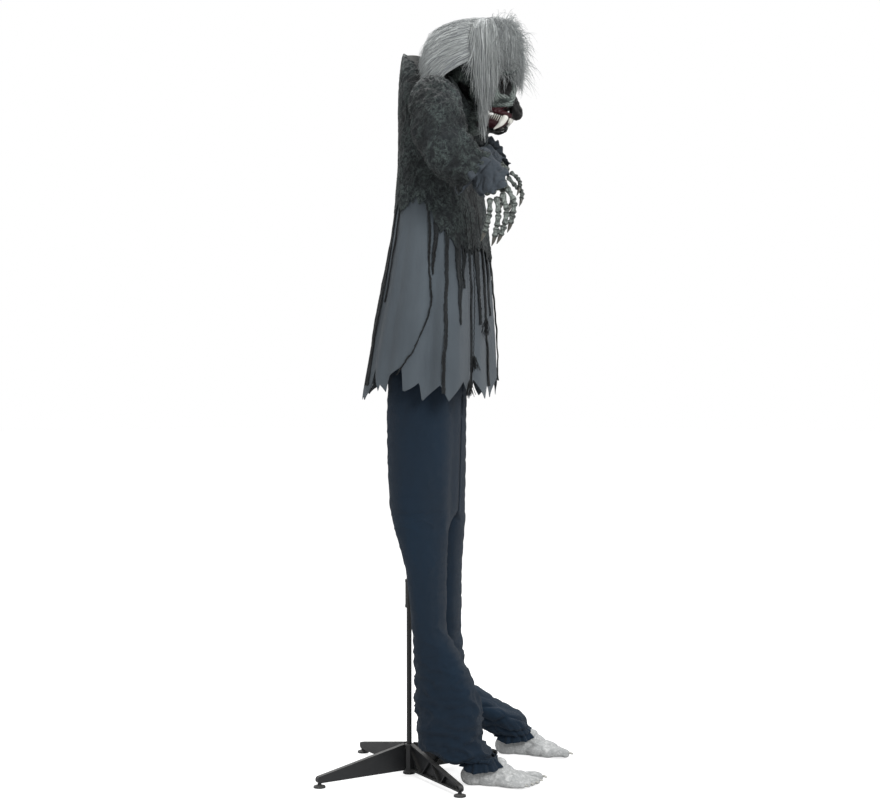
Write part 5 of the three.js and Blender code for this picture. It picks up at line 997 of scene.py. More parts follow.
# %% Trousers
SEAT_ROWS = [  # height, x of the widest line, outer and inner half width, front, back
    (1178, 0, 131, 0, -146, 13), (1100, 0, 136, 0, -139, 20), (1000, 0, 142, 0, -133, 29),
    (880, 0, 150, 0, -126, 38), (760, 0, 152, 0, -122, 37), (660, 0, 151, 0, -119, 31),
    (620, 0, 150, 0, -117, 25), (600, 44, 106, 38, -114, 16), (570, 76, 74, 64, -110, 2),
]
LEG_ROWS = {  # both legs begin with the seat's rows
    "right": SEAT_ROWS + [
        (497, 90, 62, 62, -107, -21), (420, 90, 58, 57, -105, -31), (350, 87, 55, 53, -106, -36),
        (325, 84, 55, 53, -122, -36), (263, 79, 57, 56, -157, -37), (200, 74, 59, 58, -182, -36),
        (150, 71, 60, 59, -191, -38), (104, 66, 59, 58, -187, -38), (78, 64, 58, 57, -204, -48),
        (62, 63, 50, 49, -212, -84), (57, 62, 40, 40, -219, -138), (64, 62, 34, 34, -221, -151),
    ],
    "left": SEAT_ROWS + [
        (497, 92, 62, 62, -102, -21), (420, 100, 58, 57, -98, -29), (350, 112, 55, 54, -95, -32),
        (300, 125, 54, 53, -92, -30), (245, 146, 55, 54, -91, -32), (185, 172, 56, 55, -99, -36),
        (140, 196, 57, 56, -148, -58), (104, 222, 56, 55, -208, -92), (78, 236, 53, 52, -228, -113),
        (62, 243, 46, 45, -232, -136), (57, 246, 39, 39, -233, -158), (64, 246, 34, 34, -233, -163),
    ],
}
LEG_STEPS = 210
LEG_COLUMNS = 128
LEG_ROUNDNESS = 0.82  # the power of cosine and sine in a leg's outline; 1 would be an ellipse
LEG_SEEDS = {"right": 3, "left": 8}
CROTCH = 620
LEG_CELL = (0.0032, 0.0046)  # metres of cloth across and along one cell of the grid
SEAM_REACH = 0.6  # points of the two legs that lie this close are joined


def leg_rings(side):
    """Rings of one leg, rounded outlines whose widest line and outer and inner halves are in the table."""
    sign = -1 if side == "right" else 1
    rows = smooth_path(LEG_ROWS[side], LEG_STEPS)
    above = rows[:, 0] > CROTCH
    rows[above, 1], rows[above, 3] = 0, 0
    height, middle, outer, inner, front, back = (rows[:, i:i + 1] for i in range(6))
    turns = np.linspace(0, TURN, LEG_COLUMNS, endpoint=False)[None] - np.pi / 2
    c, s = np.cos(turns), np.sin(turns)
    c = np.where(np.abs(c) < 1e-9, 0, c)
    across = np.sign(c) * np.abs(c) ** LEG_ROUNDNESS * np.where(c > 0, outer, inner)
    deep = (back + front) / 2 + np.sign(s) * np.abs(s) ** LEG_ROUNDNESS * (back - front) / 2
    return np.stack([sign * (middle + across), deep + 0 * middle, height + 0 * c], -1), c


def trouser_folds(rings, c, side):
    """Pushes the cloth out and in: upright folds, slanting creases above the bag and gathers at the ankle."""
    seed = LEG_SEEDS[side]
    places = rings.reshape(-1, 3)
    height = rings[..., 2]
    along = np.linspace(0, 1, len(rings))[:, None]
    turns = np.linspace(0, TURN, LEG_COLUMNS, endpoint=False)[None]
    upright = waves(places, 95, 10, seed, (1, 1, 0.16)).reshape(height.shape)
    slanting = ridges(places, 62, 9, seed + 1, (0.7, 0.7, 1.5)).reshape(height.shape) - 0.5
    small = ridges(places, 26, 9, seed + 2, (0.8, 0.8, 1.1)).reshape(height.shape) - 0.5
    low = 1 - ease(height, 120, 420)
    gather = ease(along, 0.9, 0.99) * (np.sin(17 * turns) + 0.6 * np.sin(29 * turns + 1))
    push = 3.0 * upright * (1 - 0.4 * low) + (1.5 + 6.5 * low) * slanting + 1.6 * low * small + 1.4 * gather
    held = np.maximum(ease(CROTCH - height, 0, 60), ease(np.abs(c), 0.03, 0.35))
    return rings + outward(rings) * (push * held * (height < 1170))[..., None]


def both_legs():
    """One mesh of two leg grids, of which only the outer halves are kept above the crotch."""
    points, faces, uv = [], [], []
    for k, side in enumerate(LEG_ROWS):
        rings, c = leg_rings(side)
        rings = trouser_folds(rings, c, side)
        rings[..., 0] = np.where((rings[..., 2] > CROTCH - 2) & (np.abs(c) < 1e-6), 0, rings[..., 0])
        cells, row, column = grid_faces(LEG_STEPS, LEG_COLUMNS)
        middle = (c[0, column] + c[0, (column + 1) % LEG_COLUMNS]) / 2
        kept = (middle > 0) | (rings[row, column, 2] < CROTCH + 1)
        points.append(rings.reshape(-1, 3))
        faces.append(cells[kept] + k * LEG_STEPS * LEG_COLUMNS)
        uv.append(cell_corners(row, column, LEG_CELL)[kept])
    return np.vstack(points), np.vstack(faces), np.concatenate(uv)


def trousers_piece():
    """Joins the two legs' seam, drops the points that no face uses and gives the cloth its thickness."""
    points, faces, uv = both_legs()
    used, faces = np.unique(faces, return_inverse=True)
    made = add_mesh("trousers_cloth", points[used], faces.reshape(-1, 4), TROUSER_CLOTH, corner_uv=uv)
    made.modifiers.new("seam", "WELD").merge_threshold = SEAM_REACH * MM
    made.modifiers.new("thickness", "SOLIDIFY").thickness = CLOTH_WALL * MM
    made.modifiers["thickness"].offset = -1
    settle(made, "root", "navy_cloth", "trousers")
    return made


trousers = trousers_piece()
print("trousers", trousers.name, "points", len(trousers.data.vertices))

# %% [markdown]
# Under each leg a gathered frill falls over the foot. It is a short cone whose edge ripples and hangs
# lower at the sides than in front.

# %% Ankle frills
ANKLES = {"right": (-62, -186), "left": (246, -198)}
FRILL = {"top": 66, "drop": 20, "radius": 31, "flare": 13.5, "steps": 34, "columns": 220}


def frill(side):
    """A rippled ring from the gathered ankle to the edge, one sheet."""
    x, y = ANKLES[side]
    down = np.linspace(0, 1, FRILL["steps"])[:, None]
    turns = np.linspace(0, TURN, FRILL["columns"], endpoint=False)[None]
    ripple = np.sin(13 * turns + (side == "left")) + 0.6 * np.sin(21 * turns + 2)
    radius = FRILL["radius"] + FRILL["flare"] * down ** 0.8 + (0.8 + 2.6 * down) * ripple * 0.7
    sides_droop = (11 * np.cos(turns) ** 2 + 2.0 * np.sin(5 * turns)) * down ** 1.5
    height = FRILL["top"] - FRILL["drop"] * down - sides_droop
    rings = np.stack([x + radius * np.cos(turns), y + radius * (1 + 0.13 * down) * np.sin(turns), height], -1)
    made, cut = cloth_sheet("ankle_frill_" + side, rings, TROUSER_CLOTH, 1.0)
    settle(made, "root", "navy_cloth", "ankle_ruffle_" + side)
    return made


frills = [frill(side) for side in ANKLES]
print("ankle frills", [piece.name for piece in frills])

# %% [markdown]
# Flesh and bone are built from egg shapes and tapered limbs that a voxel remesh fuses into one skin.
# Numpy then carves that skin: it dents the eye sockets, raises wrinkles and paints point masks.

# %% Helpers for fused skins
VOXEL = {"face": 1.9, "hand": 1.1, "foot": 1.6}  # side of the remesh's cubes, in millimetres


def egg(centre, radii, lean=(0, 0, 0), columns=36, rows=20):
    """A closed ellipsoid, turned by three angles in degrees about X, Y and Z."""
    up = np.linspace(-np.pi / 2, np.pi / 2, rows)[1:-1, None]
    around = np.linspace(0, TURN, columns, endpoint=False)[None]
    rings = np.stack([np.cos(up) * np.cos(around), np.cos(up) * np.sin(around), np.sin(up) + 0 * around], -1)
    points, faces = closed_ends(rings * np.asarray(radii, float))
    turned = np.array(Euler(np.radians(lean)).to_matrix())
    return points @ turned.T + centre, faces


def limb(stops, radii, columns=20, rows=44):
    """A closed tube with round ends along a smooth path; radii are given at the stops."""
    path = smooth_path(stops, rows)
    share = np.linspace(0, 1, rows)
    radius = np.interp(share, np.linspace(0, 1, len(radii)), radii)
    length = np.linalg.norm(np.diff(path, axis=0), axis=1).sum()
    near_end = np.minimum(share, 1 - share) * length / radius
    radius = radius * np.sqrt(np.clip(1 - (1 - np.minimum(near_end, 1)) ** 2, 0.02, 1))
    return closed_ends(tube(path, radius[:, None], radius[:, None], (1, 0.1, 0.05), columns))


def gathered(shapes):
    """Several closed shapes as one list of points and one of faces."""
    starts = np.cumsum([0] + [len(points) for points, _ in shapes])
    faces = [[int(i) + int(start) for i in face] for (_, part), start in zip(shapes, starts) for face in part]
    return np.vstack([points for points, _ in shapes]), faces


def fused(name, shapes, voxel, rounds, material):
    """One closed skin round all the shapes: remeshed into cubes of `voxel` millimetres and smoothed."""
    made = add_mesh(name, *gathered(shapes), material)
    remesh = made.modifiers.new("fuse", "REMESH")
    remesh.mode, remesh.voxel_size = "VOXEL", voxel * MM
    smooth = made.modifiers.new("soften", "SMOOTH")
    smooth.factor, smooth.iterations = 0.5, rounds
    bpy.context.view_layer.objects.active = made
    for modifier in ("fuse", "soften"):
        bpy.ops.object.modifier_apply(modifier=modifier)
    made.data.shade_smooth()
    print(name, len(made.data.polygons), "faces")
    return made


def skin_points(made):
    """The points in millimetres and the directions that leave the skin there."""
    count = len(made.data.vertices)
    places, ways = np.empty(count * 3), np.empty(count * 3)
    made.data.vertices.foreach_get("co", places)
    made.data.vertices.foreach_get("normal", ways)
    return places.reshape(-1, 3) / MM, ways.reshape(-1, 3)


def reshape_skin(made, places, **masks):
    """Writes the carved points back, in metres, with the painted masks."""
    made.data.vertices.foreach_set("co", (places * MM).ravel())
    made.data.update()
    for label, values in masks.items():
        made.data.attributes.new(label, "FLOAT", "POINT").data.foreach_set("value", values.astype(np.float32))


def inside(places, centre, radii):
    """1 at the middle of an egg shape, 0 on its surface and below 0 outside."""
    return 1 - np.sqrt((((places - centre) / np.asarray(radii, float)) ** 2).sum(-1))


def mirrored(shape):
    """The same shape on the other side of the figure's middle plane, facing outwards still."""
    points, faces = shape
    return points * [-1, 1, 1], [list(face)[::-1] for face in faces]

# %% [markdown]
# The wolf's face. The snout is short and droops, with a big black nose that hangs over the mouth. The mouth
# is open from the nose back to the cheeks, with red gums, and a thin black lower lip runs under it. The
# sockets are big black dents below heavy brows. Wrinkles run round the lower edge of each socket.

# %% Wolf face
SOCKET = {"centre": (35, -249, 1573), "radii": (23, 31, 28)}
NOSE = {"centre": (0, -250, 1519), "radii": (14.5, 15.5, 20)}
LIP = [(-170, 1492), (-190, 1478), (-207, 1473), (-222, 1477), (-231, 1485)]  # lower lip: way back, height


def face_shapes():
    """The eggs and limbs of the head; those off the middle are made once and mirrored."""
    pairs = [
        egg((44, -190, 1562), (26, 38, 34)), egg((36, -226, 1549), (18, 24, 12)),
        egg((27, -240, 1604), (27, 19, 13), (0, 14, 12)), egg((21, -214, 1534), (15, 34, 11)),
        egg((8, -256, 1514), (7, 8, 8)), egg((34, -166, 1500), (15, 24, 25)),
        limb([(x, *place) for x, place in zip((34, 28, 21, 13, 0), LIP)], [6, 3.8, 3.2, 3.0, 3.0]),
        limb([(30, -192, 1521), (28, -214, 1518), (21, -234, 1511), (0, -242, 1506)], [5, 6, 6.5, 6]),
    ]
    middle = [
        egg((0, -166, 1618), (71, 76, 84)), egg((0, -196, 1584), (59, 50, 54)),
        egg((0, -230, 1570), (14, 21, 31)), egg((0, -220, 1544), (28, 33, 19)),
        egg(NOSE["centre"], NOSE["radii"], (-14, 0, 0)), egg((0, -150, 1503), (36, 34, 36)),
        egg((0, -243, 1535), (16, 15, 12)), egg((0, -190, 1478), (24, 28, 4.5)),
        egg((0, -128, 1556), (42, 38, 48)), egg((0, -200, 1497), (25, 34, 17)),
    ]
    return middle + pairs + [mirrored(shape) for shape in pairs]


def dent(places, ways, centre, radii):
    """Moves what lies inside an egg back along Y to its rear wall, and returns a mask of the dent."""
    across = ((places[:, 0] - centre[0]) / radii[0]) ** 2 + ((places[:, 2] - centre[2]) / radii[2]) ** 2
    wall = centre[1] + radii[1] * np.sqrt(np.clip(1 - across, 0, 1))
    hit = (across < 1) & (places[:, 1] < centre[1] + radii[1]) & (ways[:, 1] < 0.35)
    moved = np.where(hit, np.maximum(places[:, 1], wall), places[:, 1])
    places[:, 1] = moved
    return np.where(across < 1.25, ease(1.25 - across, 0, 0.35), 0) * (ways[:, 1] < 0.5)


def wolf_face():
    """The fused head with sockets, wrinkles, nostrils and painted masks, among them a painted highlight on
    raised lines.
    """
    made = fused("wolf_face", face_shapes(), VOXEL["face"], 8, MASK_SKIN)
    places, ways = skin_points(made)
    rub = np.zeros(len(places))
    for side in (-1, 1):
        centre = np.array(SOCKET["centre"]) * [side, 1, 1]
        around = np.linalg.norm((places - centre) / [1.1, 1, 1], axis=1)
        band = ease(around, 27, 31) * (1 - ease(around, 44, 58)) * (places[:, 2] < 1572) * (ways[:, 2] > -0.6)
        lines = np.abs(np.sin(around / 4.6 * np.pi + 0.7 * waves(places, 30, 8, 4)))
        # painted highlight on the raised wrinkle lines round each socket
        rub = np.maximum(rub, band * lines ** 3)
        places += ways * (band * (1.5 * lines - 0.7))[:, None]
    frown = ease(places[:, 2], 1590, 1612) * ease(-places[:, 1], 215, 240)
    places += ways * (1.6 * frown * ridges(places, 20, 8, 14, (1.4, 1, 0.6)))[:, None]
    places += ways * (0.9 * ridges(places, 13, 10, 6) - 0.4)[:, None]
    sockets = [np.array(SOCKET["centre"]) * [side, 1, 1] for side in (-1, 1)]
    sunk = sum(dent(places, ways, centre, SOCKET["radii"]) for centre in sockets)
    for side in (-1, 1):
        hole = inside(places, (side * 8, -263, 1518), (4.5, 7, 5))
        places[:, 1] += 6 * ease(hole, 0, 0.8)
    nose = ease(inside(places, (0, -250, 1524), (19, 22, 29)), 0.0, 0.06) * (places[:, 1] < -238)
    lip_height = np.interp(-places[:, 1], [165, 190, 207, 222, 231], [height for _, height in LIP])
    rim = np.abs(places[:, 2] - lip_height) < 7
    lip = (ease(-places[:, 1], 160, 172) * rim * (places[:, 1] > -238)).astype(float)
    band = (places[:, 2] < 1527) * (places[:, 1] > -246) * (places[:, 1] < -176) * (np.abs(places[:, 0]) < 42)
    gum = np.maximum(ease(-ways[:, 2], -0.3, 0.3), np.abs(places[:, 0]) < 36)
    mouth = band * (1 - nose) * (1 - lip) * gum
    ink = np.clip(sunk + nose + lip, 0, 1)
    # painted highlight on raised wrinkles and ridges, kept off the black paint and the mouth
    highlighted = np.clip(0.42 * rub + 0.22 * ease(ridges(places, 13, 10, 6), 0.55, 0.95), 0, 1)
    rub = highlighted * (1 - np.clip(ink + mouth, 0, 1))
    reshape_skin(made, places, ink=ink, wet=np.clip(mouth, 0, 1), rub=rub)
    return settle(made, "head", "mask_latex", "face_mask")


face = wolf_face()
print("face", face.name, "points", len(face.data.vertices))

# %% [markdown]
# Teeth. The small ones are thin pegs in a row that slants back like the fang. Each fang is broad at its root,
# long and curved, and its point ends over the lower lip.

# %% Teeth
SIDE_TEETH = 7


def tooth(root, tip, radius, bow):
    """A curved cone from root to tip, bowed forwards in the middle."""
    root, tip = np.array(root, float), np.array(tip, float)
    middle = (root + tip) / 2 + np.array([0, -bow, -bow * 0.6])
    return limb([root, middle, tip], [radius, radius * 0.82, radius * 0.14], columns=14, rows=18)


def teeth_piece():
    """Seven thin slanting side teeth, a broad fang and two front teeth on each side, as one mesh."""
    share = np.linspace(0, 1, SIDE_TEETH)
    roots = np.stack([38.5 - 7 * share, -198 - 26 * share, 1517 - 9 * share], 1)
    tips = roots + np.stack([-1.5 + 0 * share, 6.5 + 1.5 * share, -12.0 - 2.0 * share], 1)
    side = [tooth(a, b, 1.15, 0.3) for a, b in zip(roots, tips)]
    side.append(tooth((23, -234, 1510), (28, -204, 1478), 8.0, 3.0))
    side.append(tooth((12, -240, 1506), (12, -234, 1492), 3.2, 0.5))
    side.append(tooth((4.5, -242, 1505), (4.5, -236, 1491), 3.2, 0.5))
    made = add_mesh("wolf_teeth", *gathered(side + [mirrored(shape) for shape in side]), IVORY)
    return settle(made, "head", "ivory", "upper_teeth")


teeth = teeth_piece()
print("teeth", teeth.name, "side teeth on each side", SIDE_TEETH)

# %% [markdown]
# Skeleton hands. Every finger is a chain of three bones, thick at the ends and thin in the middle. They meet
# at joints painted black, and the last one ends in a claw. The knuckles lie on an arc. A torn grey cuff of
# crumpled cloth covers the back of the hand, and a frill of the same cloth curls out along the sleeve's hem.

# %% Hands
HANDS = {  # a finger is its length and the swings of its three bones; the palm swings forwards
    "right": {
        "side": -1, "wrist": (-242, -226, 1375), "palm": 35, "size": 1.0, "cuff": 1.0,
        "fingers": [(88, (5, 44, 54)), (100, (19, 48, 60)), (92, (27, 46, 52)), (80, (36, 50, 58))],
        "thumb": (50, (-8, 30, 50)),
    },
    "left": {
        "side": 1, "wrist": (250, -134, 1436), "palm": 42, "size": 0.86, "cuff": 0.8,
        "fingers": [(64, (-10, 12, 52)), (88, (2, -8, 48)), (84, (12, 20, 56)), (74, (22, 34, 60))],
        "thumb": (40, (20, 40, 60)),
    },
}
KNUCKLES = [(-20, -60), (-6, -64), (9, -64), (22, -58)]  # across the hand and down it, from the thumb's side
BONE_SHARES = [0.42, 0.32, 0.26]
BONE_BEND = 9  # degrees each bone leans further towards the palm


def finger_bones(start, swings, length, inward, size):
    """Three bones from the knuckle on, knobbed at both ends. Each has its own swing in the plane of the
    hand and leans a little more towards the palm than the last. Returns the bones, the claw and the places
    of the joints."""
    bones, joints, place = [], [], np.array(start, float)
    for k, (share, turn) in enumerate(zip(BONE_SHARES, swings)):
        bend, swing = np.radians(BONE_BEND * k), np.radians(turn)
        way = np.array([inward * np.sin(bend), np.sin(swing) * np.cos(bend), -np.cos(swing) * np.cos(bend)])
        way /= np.linalg.norm(way)
        reach = way * length * share
        thick = size * (1.12 - 0.5 * share)
        knobs = [thick, thick * 0.97, thick * 0.66, thick * 0.62, thick * 0.92, thick * 0.98]
        stops = [place + reach * part for part in (0, 0.14, 0.36, 0.62, 0.88, 1)]
        bones.append(limb(stops, knobs, columns=16, rows=30))
        joints.append(place)
        place = place + reach - way * 0.8
    joints.append(place)
    hook = [place - way * 5, place + way * 8 + [0, 0.5, 0], place + way * 17 + [inward * 2, 5, -1]]
    return bones, limb(hook, [size * 0.66, size * 0.46, 0.6], columns=14, rows=18), joints


def hand_place(points, hand):
    """From the hand's own frame, palm down along -Z, to its place on the figure."""
    swing = -np.radians(hand["palm"])
    c, s = np.cos(swing), np.sin(swing)
    x, y, z = np.moveaxis(np.asarray(points, float), -1, 0)
    return np.stack([x, y * c - z * s, y * s + z * c], -1) + hand["wrist"]


def bony_hand(name):
    """Palm, fingers and thumb fused into one skin, with black paint in the joints, painted shade
    underneath and a painted highlight on raised lines, and separate claws.
    """
    hand = HANDS[name]
    inward, size = -hand["side"], hand["size"]
    shapes, claws, joints = [], [], []
    for (across, down), (length, swings) in zip(KNUCKLES, hand["fingers"]):
        back = -inward * 4.0
        palm_bone = [(0, across * 0.35, 8), (back, across * 0.7, down * 0.5), (back, across, down)]
        shapes.append(limb(palm_bone, [9, 5.4, 7.4]))
        knuckle = (back * 0.6, across, down - 5)
        bones, claw, finger_joints = finger_bones(knuckle, swings, length, inward, 8.2)
        shapes += bones
        claws.append(claw)
        joints += finger_joints
    length, swings = hand["thumb"]
    thumb, claw, thumb_joints = finger_bones((inward * 6, -20, -26), swings, length, inward, 7.8)
    joints += thumb_joints
    shapes += [*thumb, limb([(0, -4, 0), (inward * 4, -14, -12), (inward * 6, -22, -22)], [10, 8, 7])]
    claws.append(claw)
    shapes += [egg((0, 0, -28), (7, 25, 32)), limb([(0, 0, 26), (0, 0, 8), (0, 0, -8)], [18, 17, 16])]
    placed = [(hand_place(p * size, hand), f) for p, f in shapes]
    made = fused("skeleton_hand_" + name, placed, VOXEL["hand"], 2, HAND_SKIN)
    places, ways = skin_points(made)
    rough = ridges(places, 6, 9, 3)
    places += ways * (0.8 * rough - 0.35)[:, None]
    middles = hand_place(np.array(joints) * size, hand)
    near = np.linalg.norm(places[:, None] - middles[None], axis=2).min(1)
    ring = 1 - ease(np.abs(near - 7.2 * size), 0.4, 2.0)
    # black paint in a ring round each joint, plus painted shade on the faces that look down
    ink = np.clip(0.75 * ring + 0.25 * ease(-ways[:, 2], 0.4, 1.0), 0, 0.9)
    # painted highlight on the raised ridges
    rub = 0.55 * ease(rough, 0.5, 0.95) * (1 - ink)
    reshape_skin(made, places, ink=ink, wet=np.zeros(len(places)), rub=rub)
    settle(made, "forearm_" + name, "hand_latex", "hand_" + name)
    placed = [(hand_place(p * size, hand), f) for p, f in claws]
    horn = add_mesh("claws_" + name, *gathered(placed), CLAW_HORN)
    return made, settle(horn, "forearm_" + name, "hand_latex")


CUFF = {"top": 34, "steps": 60, "columns": 150}
HEM_FRILL = {"rise": 16, "drop": 7, "radius": 45, "steps": 18, "columns": 200, "wall": 0.9}


def torn_cuff(name):
    """A crumpled cloth tube over the wrist, torn at its edge and longest down the back of the hand."""
    hand = HANDS[name]
    outer = hand["side"]
    down = np.linspace(0, 1, CUFF["steps"])[:, None]
    turns = np.linspace(0, TURN, CUFF["columns"], endpoint=False)[None]
    torn = waves(np.stack([turns * 25, 0 * turns, 0 * turns], -1), 14, 9, 5)
    edge = 44 + 20 * np.cos(turns - (0 if outer > 0 else np.pi)) + 5 * torn
    depth = CUFF["top"] - down * (CUFF["top"] + edge)
    wide, thick = 30 + 7 * down, 21 + 2 * down
    ruffle = 1 + 0.08 * ease(down, 0.5, 1) * np.sin(9 * turns) + 0.05 * np.sin(down * 17 + 2 * np.sin(turns))
    across, along = thick * ruffle * np.cos(turns), wide * ruffle * np.sin(turns)
    local = np.stack([across, along, depth], -1) * hand["cuff"]
    rings = crumpled(hand_place(local, hand), 4.6 * hand["cuff"], 1.2, 36, 17 if outer > 0 else 29)
    made, cut = cloth_sheet("torn_cuff_" + name, rings, CUFF_CLOTH, 1.0)
    settle(made, "forearm_" + name, "grey_cloth")
    return made


def hem_frill(name):
    """A torn ribbon of pale cloth along the sleeve's hem: a ring round the forearm that rolls outwards."""
    elbow, _, end = (np.array(stop, float) for stop in SLEEVE_PATHS[name][3:])
    steps, columns = HEM_FRILL["steps"], HEM_FRILL["columns"]
    way = (end - elbow) / np.linalg.norm(end - elbow)
    path = end + way * np.linspace(-HEM_FRILL["rise"], HEM_FRILL["drop"], steps)[:, None]
    turns = np.linspace(0, TURN, columns, endpoint=False)[None]
    share = np.linspace(0, 1, steps)[:, None]
    places = np.stack([np.cos(turns), np.sin(turns), 0 * turns], -1) * 60
    curl = waves(places, 30, 9, 61 if name == "right" else 62)
    flare = 7 * share * (1 + 0.8 * curl) + 2.5 * np.sin(11 * turns) * share + 5 * np.sin(share * np.pi) * curl
    size = HEM_FRILL["radius"] + flare
    rings = tube(path, size, size, (0, 0, 1), columns)
    made = cloth_sheet("hem_frill_" + name, rings, CUFF_CLOTH, HEM_FRILL["wall"])[0]
    return settle(made, "forearm_" + name, "grey_cloth")


hands = [bony_hand(name) for name in HANDS]
cuffs = [torn_cuff(name) for name in HANDS]
hem_frills = [hem_frill(name) for name in HANDS]
print("hands", [piece.name for pair in hands for piece in pair])
print("cuffs", [piece.name for piece in cuffs], "frills", [piece.name for piece in hem_frills])

# %% [markdown]
# Bare feet. Each is long and flat, with a high instep under the frill, tendons that fan out to the toes,
# and five toes with nails. The big toe is on the inner side and reaches farthest.

# %% Feet
FEET = {
    "right": {"side": -1, "x": -57, "heel": -138, "turn": 8},
    "left": {"side": 1, "x": 252, "heel": -150, "turn": 3},
}
FOOT_PIVOT = 48  # distance from the heel to the point that the foot turns about
TOES = [  # across from the outer to the inner side, root and tip from the heel, radius
    (-37, 128, 148, 7.5), (-23, 134, 161, 8.0), (-8, 138, 170, 8.4), (8, 141, 179, 8.8),
    (30, 142, 185, 11.5),
]


def foot_place(points, foot):
    """From the foot's own frame, heel at 0, toes along -Y and inner side +X, to its place on the floor."""
    x, y, z = np.moveaxis(np.asarray(points, float), -1, 0)
    x = -x * foot["side"]
    y = y + FOOT_PIVOT
    c, s = np.cos(np.radians(foot["turn"])), np.sin(np.radians(foot["turn"]))
    return np.stack([x * c - y * s + foot["x"], x * s + y * c + foot["heel"] - FOOT_PIVOT, z], -1)


def bare_foot(name):
    """Heel, instep, ball, tendons and toes fused into one skin, pressed flat on the floor,
    with painted shade in its creases.
    """
    foot = FEET[name]
    shapes = [
        egg((0, -30, 20), (24, 31, 25)), egg((-3, -74, 24), (26, 52, 31)),
        egg((-2, -112, 14), (36, 44, 21)), egg((22, -132, 13), (18, 22, 15)),
        egg((-20, -118, 10), (21, 30, 12)), limb([(0, -44, 66), (0, -46, 48), (0, -52, 26)], [21, 23, 25]),
        egg((0, -74, 42), (19, 32, 17), (-22, 0, 0)),
    ]
    for across, root, tip, radius in TOES:
        tendon = [(across * 0.3, -66, 52), (across * 0.7, -100, 31), (across, -root, radius * 1.5)]
        shapes.append(limb(tendon, [3.5, 3.2, 4.5]))
        knee = (across, -(root + tip) / 2, radius * 1.25)
        shapes.append(limb([(across * 0.94, -root + 14, radius), knee, (across * 1.02, -tip, radius * 0.82)],
                           [radius * 0.86, radius * 0.98, radius * 0.86]))
    placed = [(foot_place(p, foot), f) for p, f in shapes]
    made = fused("bare_foot_" + name, placed, VOXEL["foot"], 4, FOOT_SKIN)
    places, ways = skin_points(made)
    crease = ridges(places, 13, 10, 4, (1.2, 0.5, 1)) ** 4
    push = 0.5 * ridges(places, 17, 9, 9, (1, 0.5, 1)) - 0.7 * crease * (places[:, 2] > 8)
    places += ways * push[:, None]
    places[:, 2] = np.maximum(places[:, 2], 0.4)
    # the black mask here is painted shade in the sunken creases, fading out near the floor
    reshape_skin(made, places, ink=0.22 * crease * ease(places[:, 2], 5, 30), wet=np.zeros(len(places)))
    settle(made, "root", "foot_latex", "foot_" + name)
    nails = []
    for across, _, tip, radius in TOES:
        middle = (across * 1.02, -tip - radius * 0.3, radius * 1.2)
        nails.append(egg(middle, (radius * 0.52, radius * 0.6, radius * 0.22), (20, 0, 0), 20, 10))
    placed = [(foot_place(p, foot), f) for p, f in nails]
    horn = add_mesh("toe_nails_" + name, *gathered(placed), NAIL_HORN)
    return made, settle(horn, "root", "foot_latex")


feet = [bare_foot(name) for name in FEET]
print("feet", [piece.name for pair in feet for piece in pair])

# %% [markdown]
# Hair. All of it is worked out in numpy: every lock is a smooth curve through a few stops, and whole arrays
# of locks become thin closed tubes at once. One field combs it back from the crown to a drooping wing
# over the hunched shoulders. The other lets it fall straight over the cheeks and the brow. Each lock leans
# towards the middle of its clump as it nears its tip. Wide flat ribbons give the mass, fine ones the edge.

# %% Hair
CROWN = np.array([0.0, -196.0, 1722.0])
FALL_MIDDLE = np.array([0.0, -190.0])
RIBBON_COUNT = {"wing": 1800, "fall": 1800}
FINE_COUNT = {"wing": 2600, "fall": 2800}
CLUMP_COUNT = 130
FRIZZ_COUNT = 1300
FALL_REACH = 112  # degrees from the brow to the last lock of the fall
RIBBON_STEPS = 14
FINE_STEPS = 11
WING_ROWS = [  # way back, half width, top, drop to the side
    (-218, 34, 1724, 24), (-178, 78, 1731, 92), (-134, 102, 1728, 116), (-94, 122, 1716, 130),
    (-64, 130, 1694, 136), (-46, 126, 1652, 102),
]
FALL_ENDS = [  # turn in degrees, height of the tips
    (0, 1566), (20, 1576), (36, 1606), (48, 1614), (57, 1592), (62, 1556), (70, 1524), (76, 1500),
    (84, 1466), (94, 1442), (99, 1500), (103, 1596), (112, 1612),
]
FALL_PARTS = [  # share of the fall, share of the plan's width, height or none
    (0.0, 0.62, 1722), (0.0, 0.93, 1694), (0.25, 1.0, 1650), (0.62, 1.0, None), (1.0, 1.0, None),
]
CAP_ROWS = [  # way back, half width, top, bottom
    (-246, 26, 1662, 1632), (-236, 46, 1688, 1622), (-215, 58, 1704, 1618), (-188, 62, 1710, 1632),
    (-150, 68, 1710, 1636), (-110, 72, 1704, 1616), (-76, 72, 1690, 1604), (-50, 60, 1664, 1596),
    (-40, 34, 1640, 1606),
]
CAP_STEPS = 60
CAP_COLUMNS = 90


def many_curves(stops, steps):
    """Catmull-Rom curves through the stops, locks by stops by 3, at even steps of the parameter."""
    held = np.concatenate([2 * stops[:, :1] - stops[:, 1:2], stops, 2 * stops[:, -1:] - stops[:, -2:-1]], 1)
    t = np.linspace(0, stops.shape[1] - 1, steps)
    k = np.minimum(t.astype(int), stops.shape[1] - 2)
    return curve_between(held[:, k], held[:, k + 1], held[:, k + 2], held[:, k + 3], (t - k)[None, :, None])


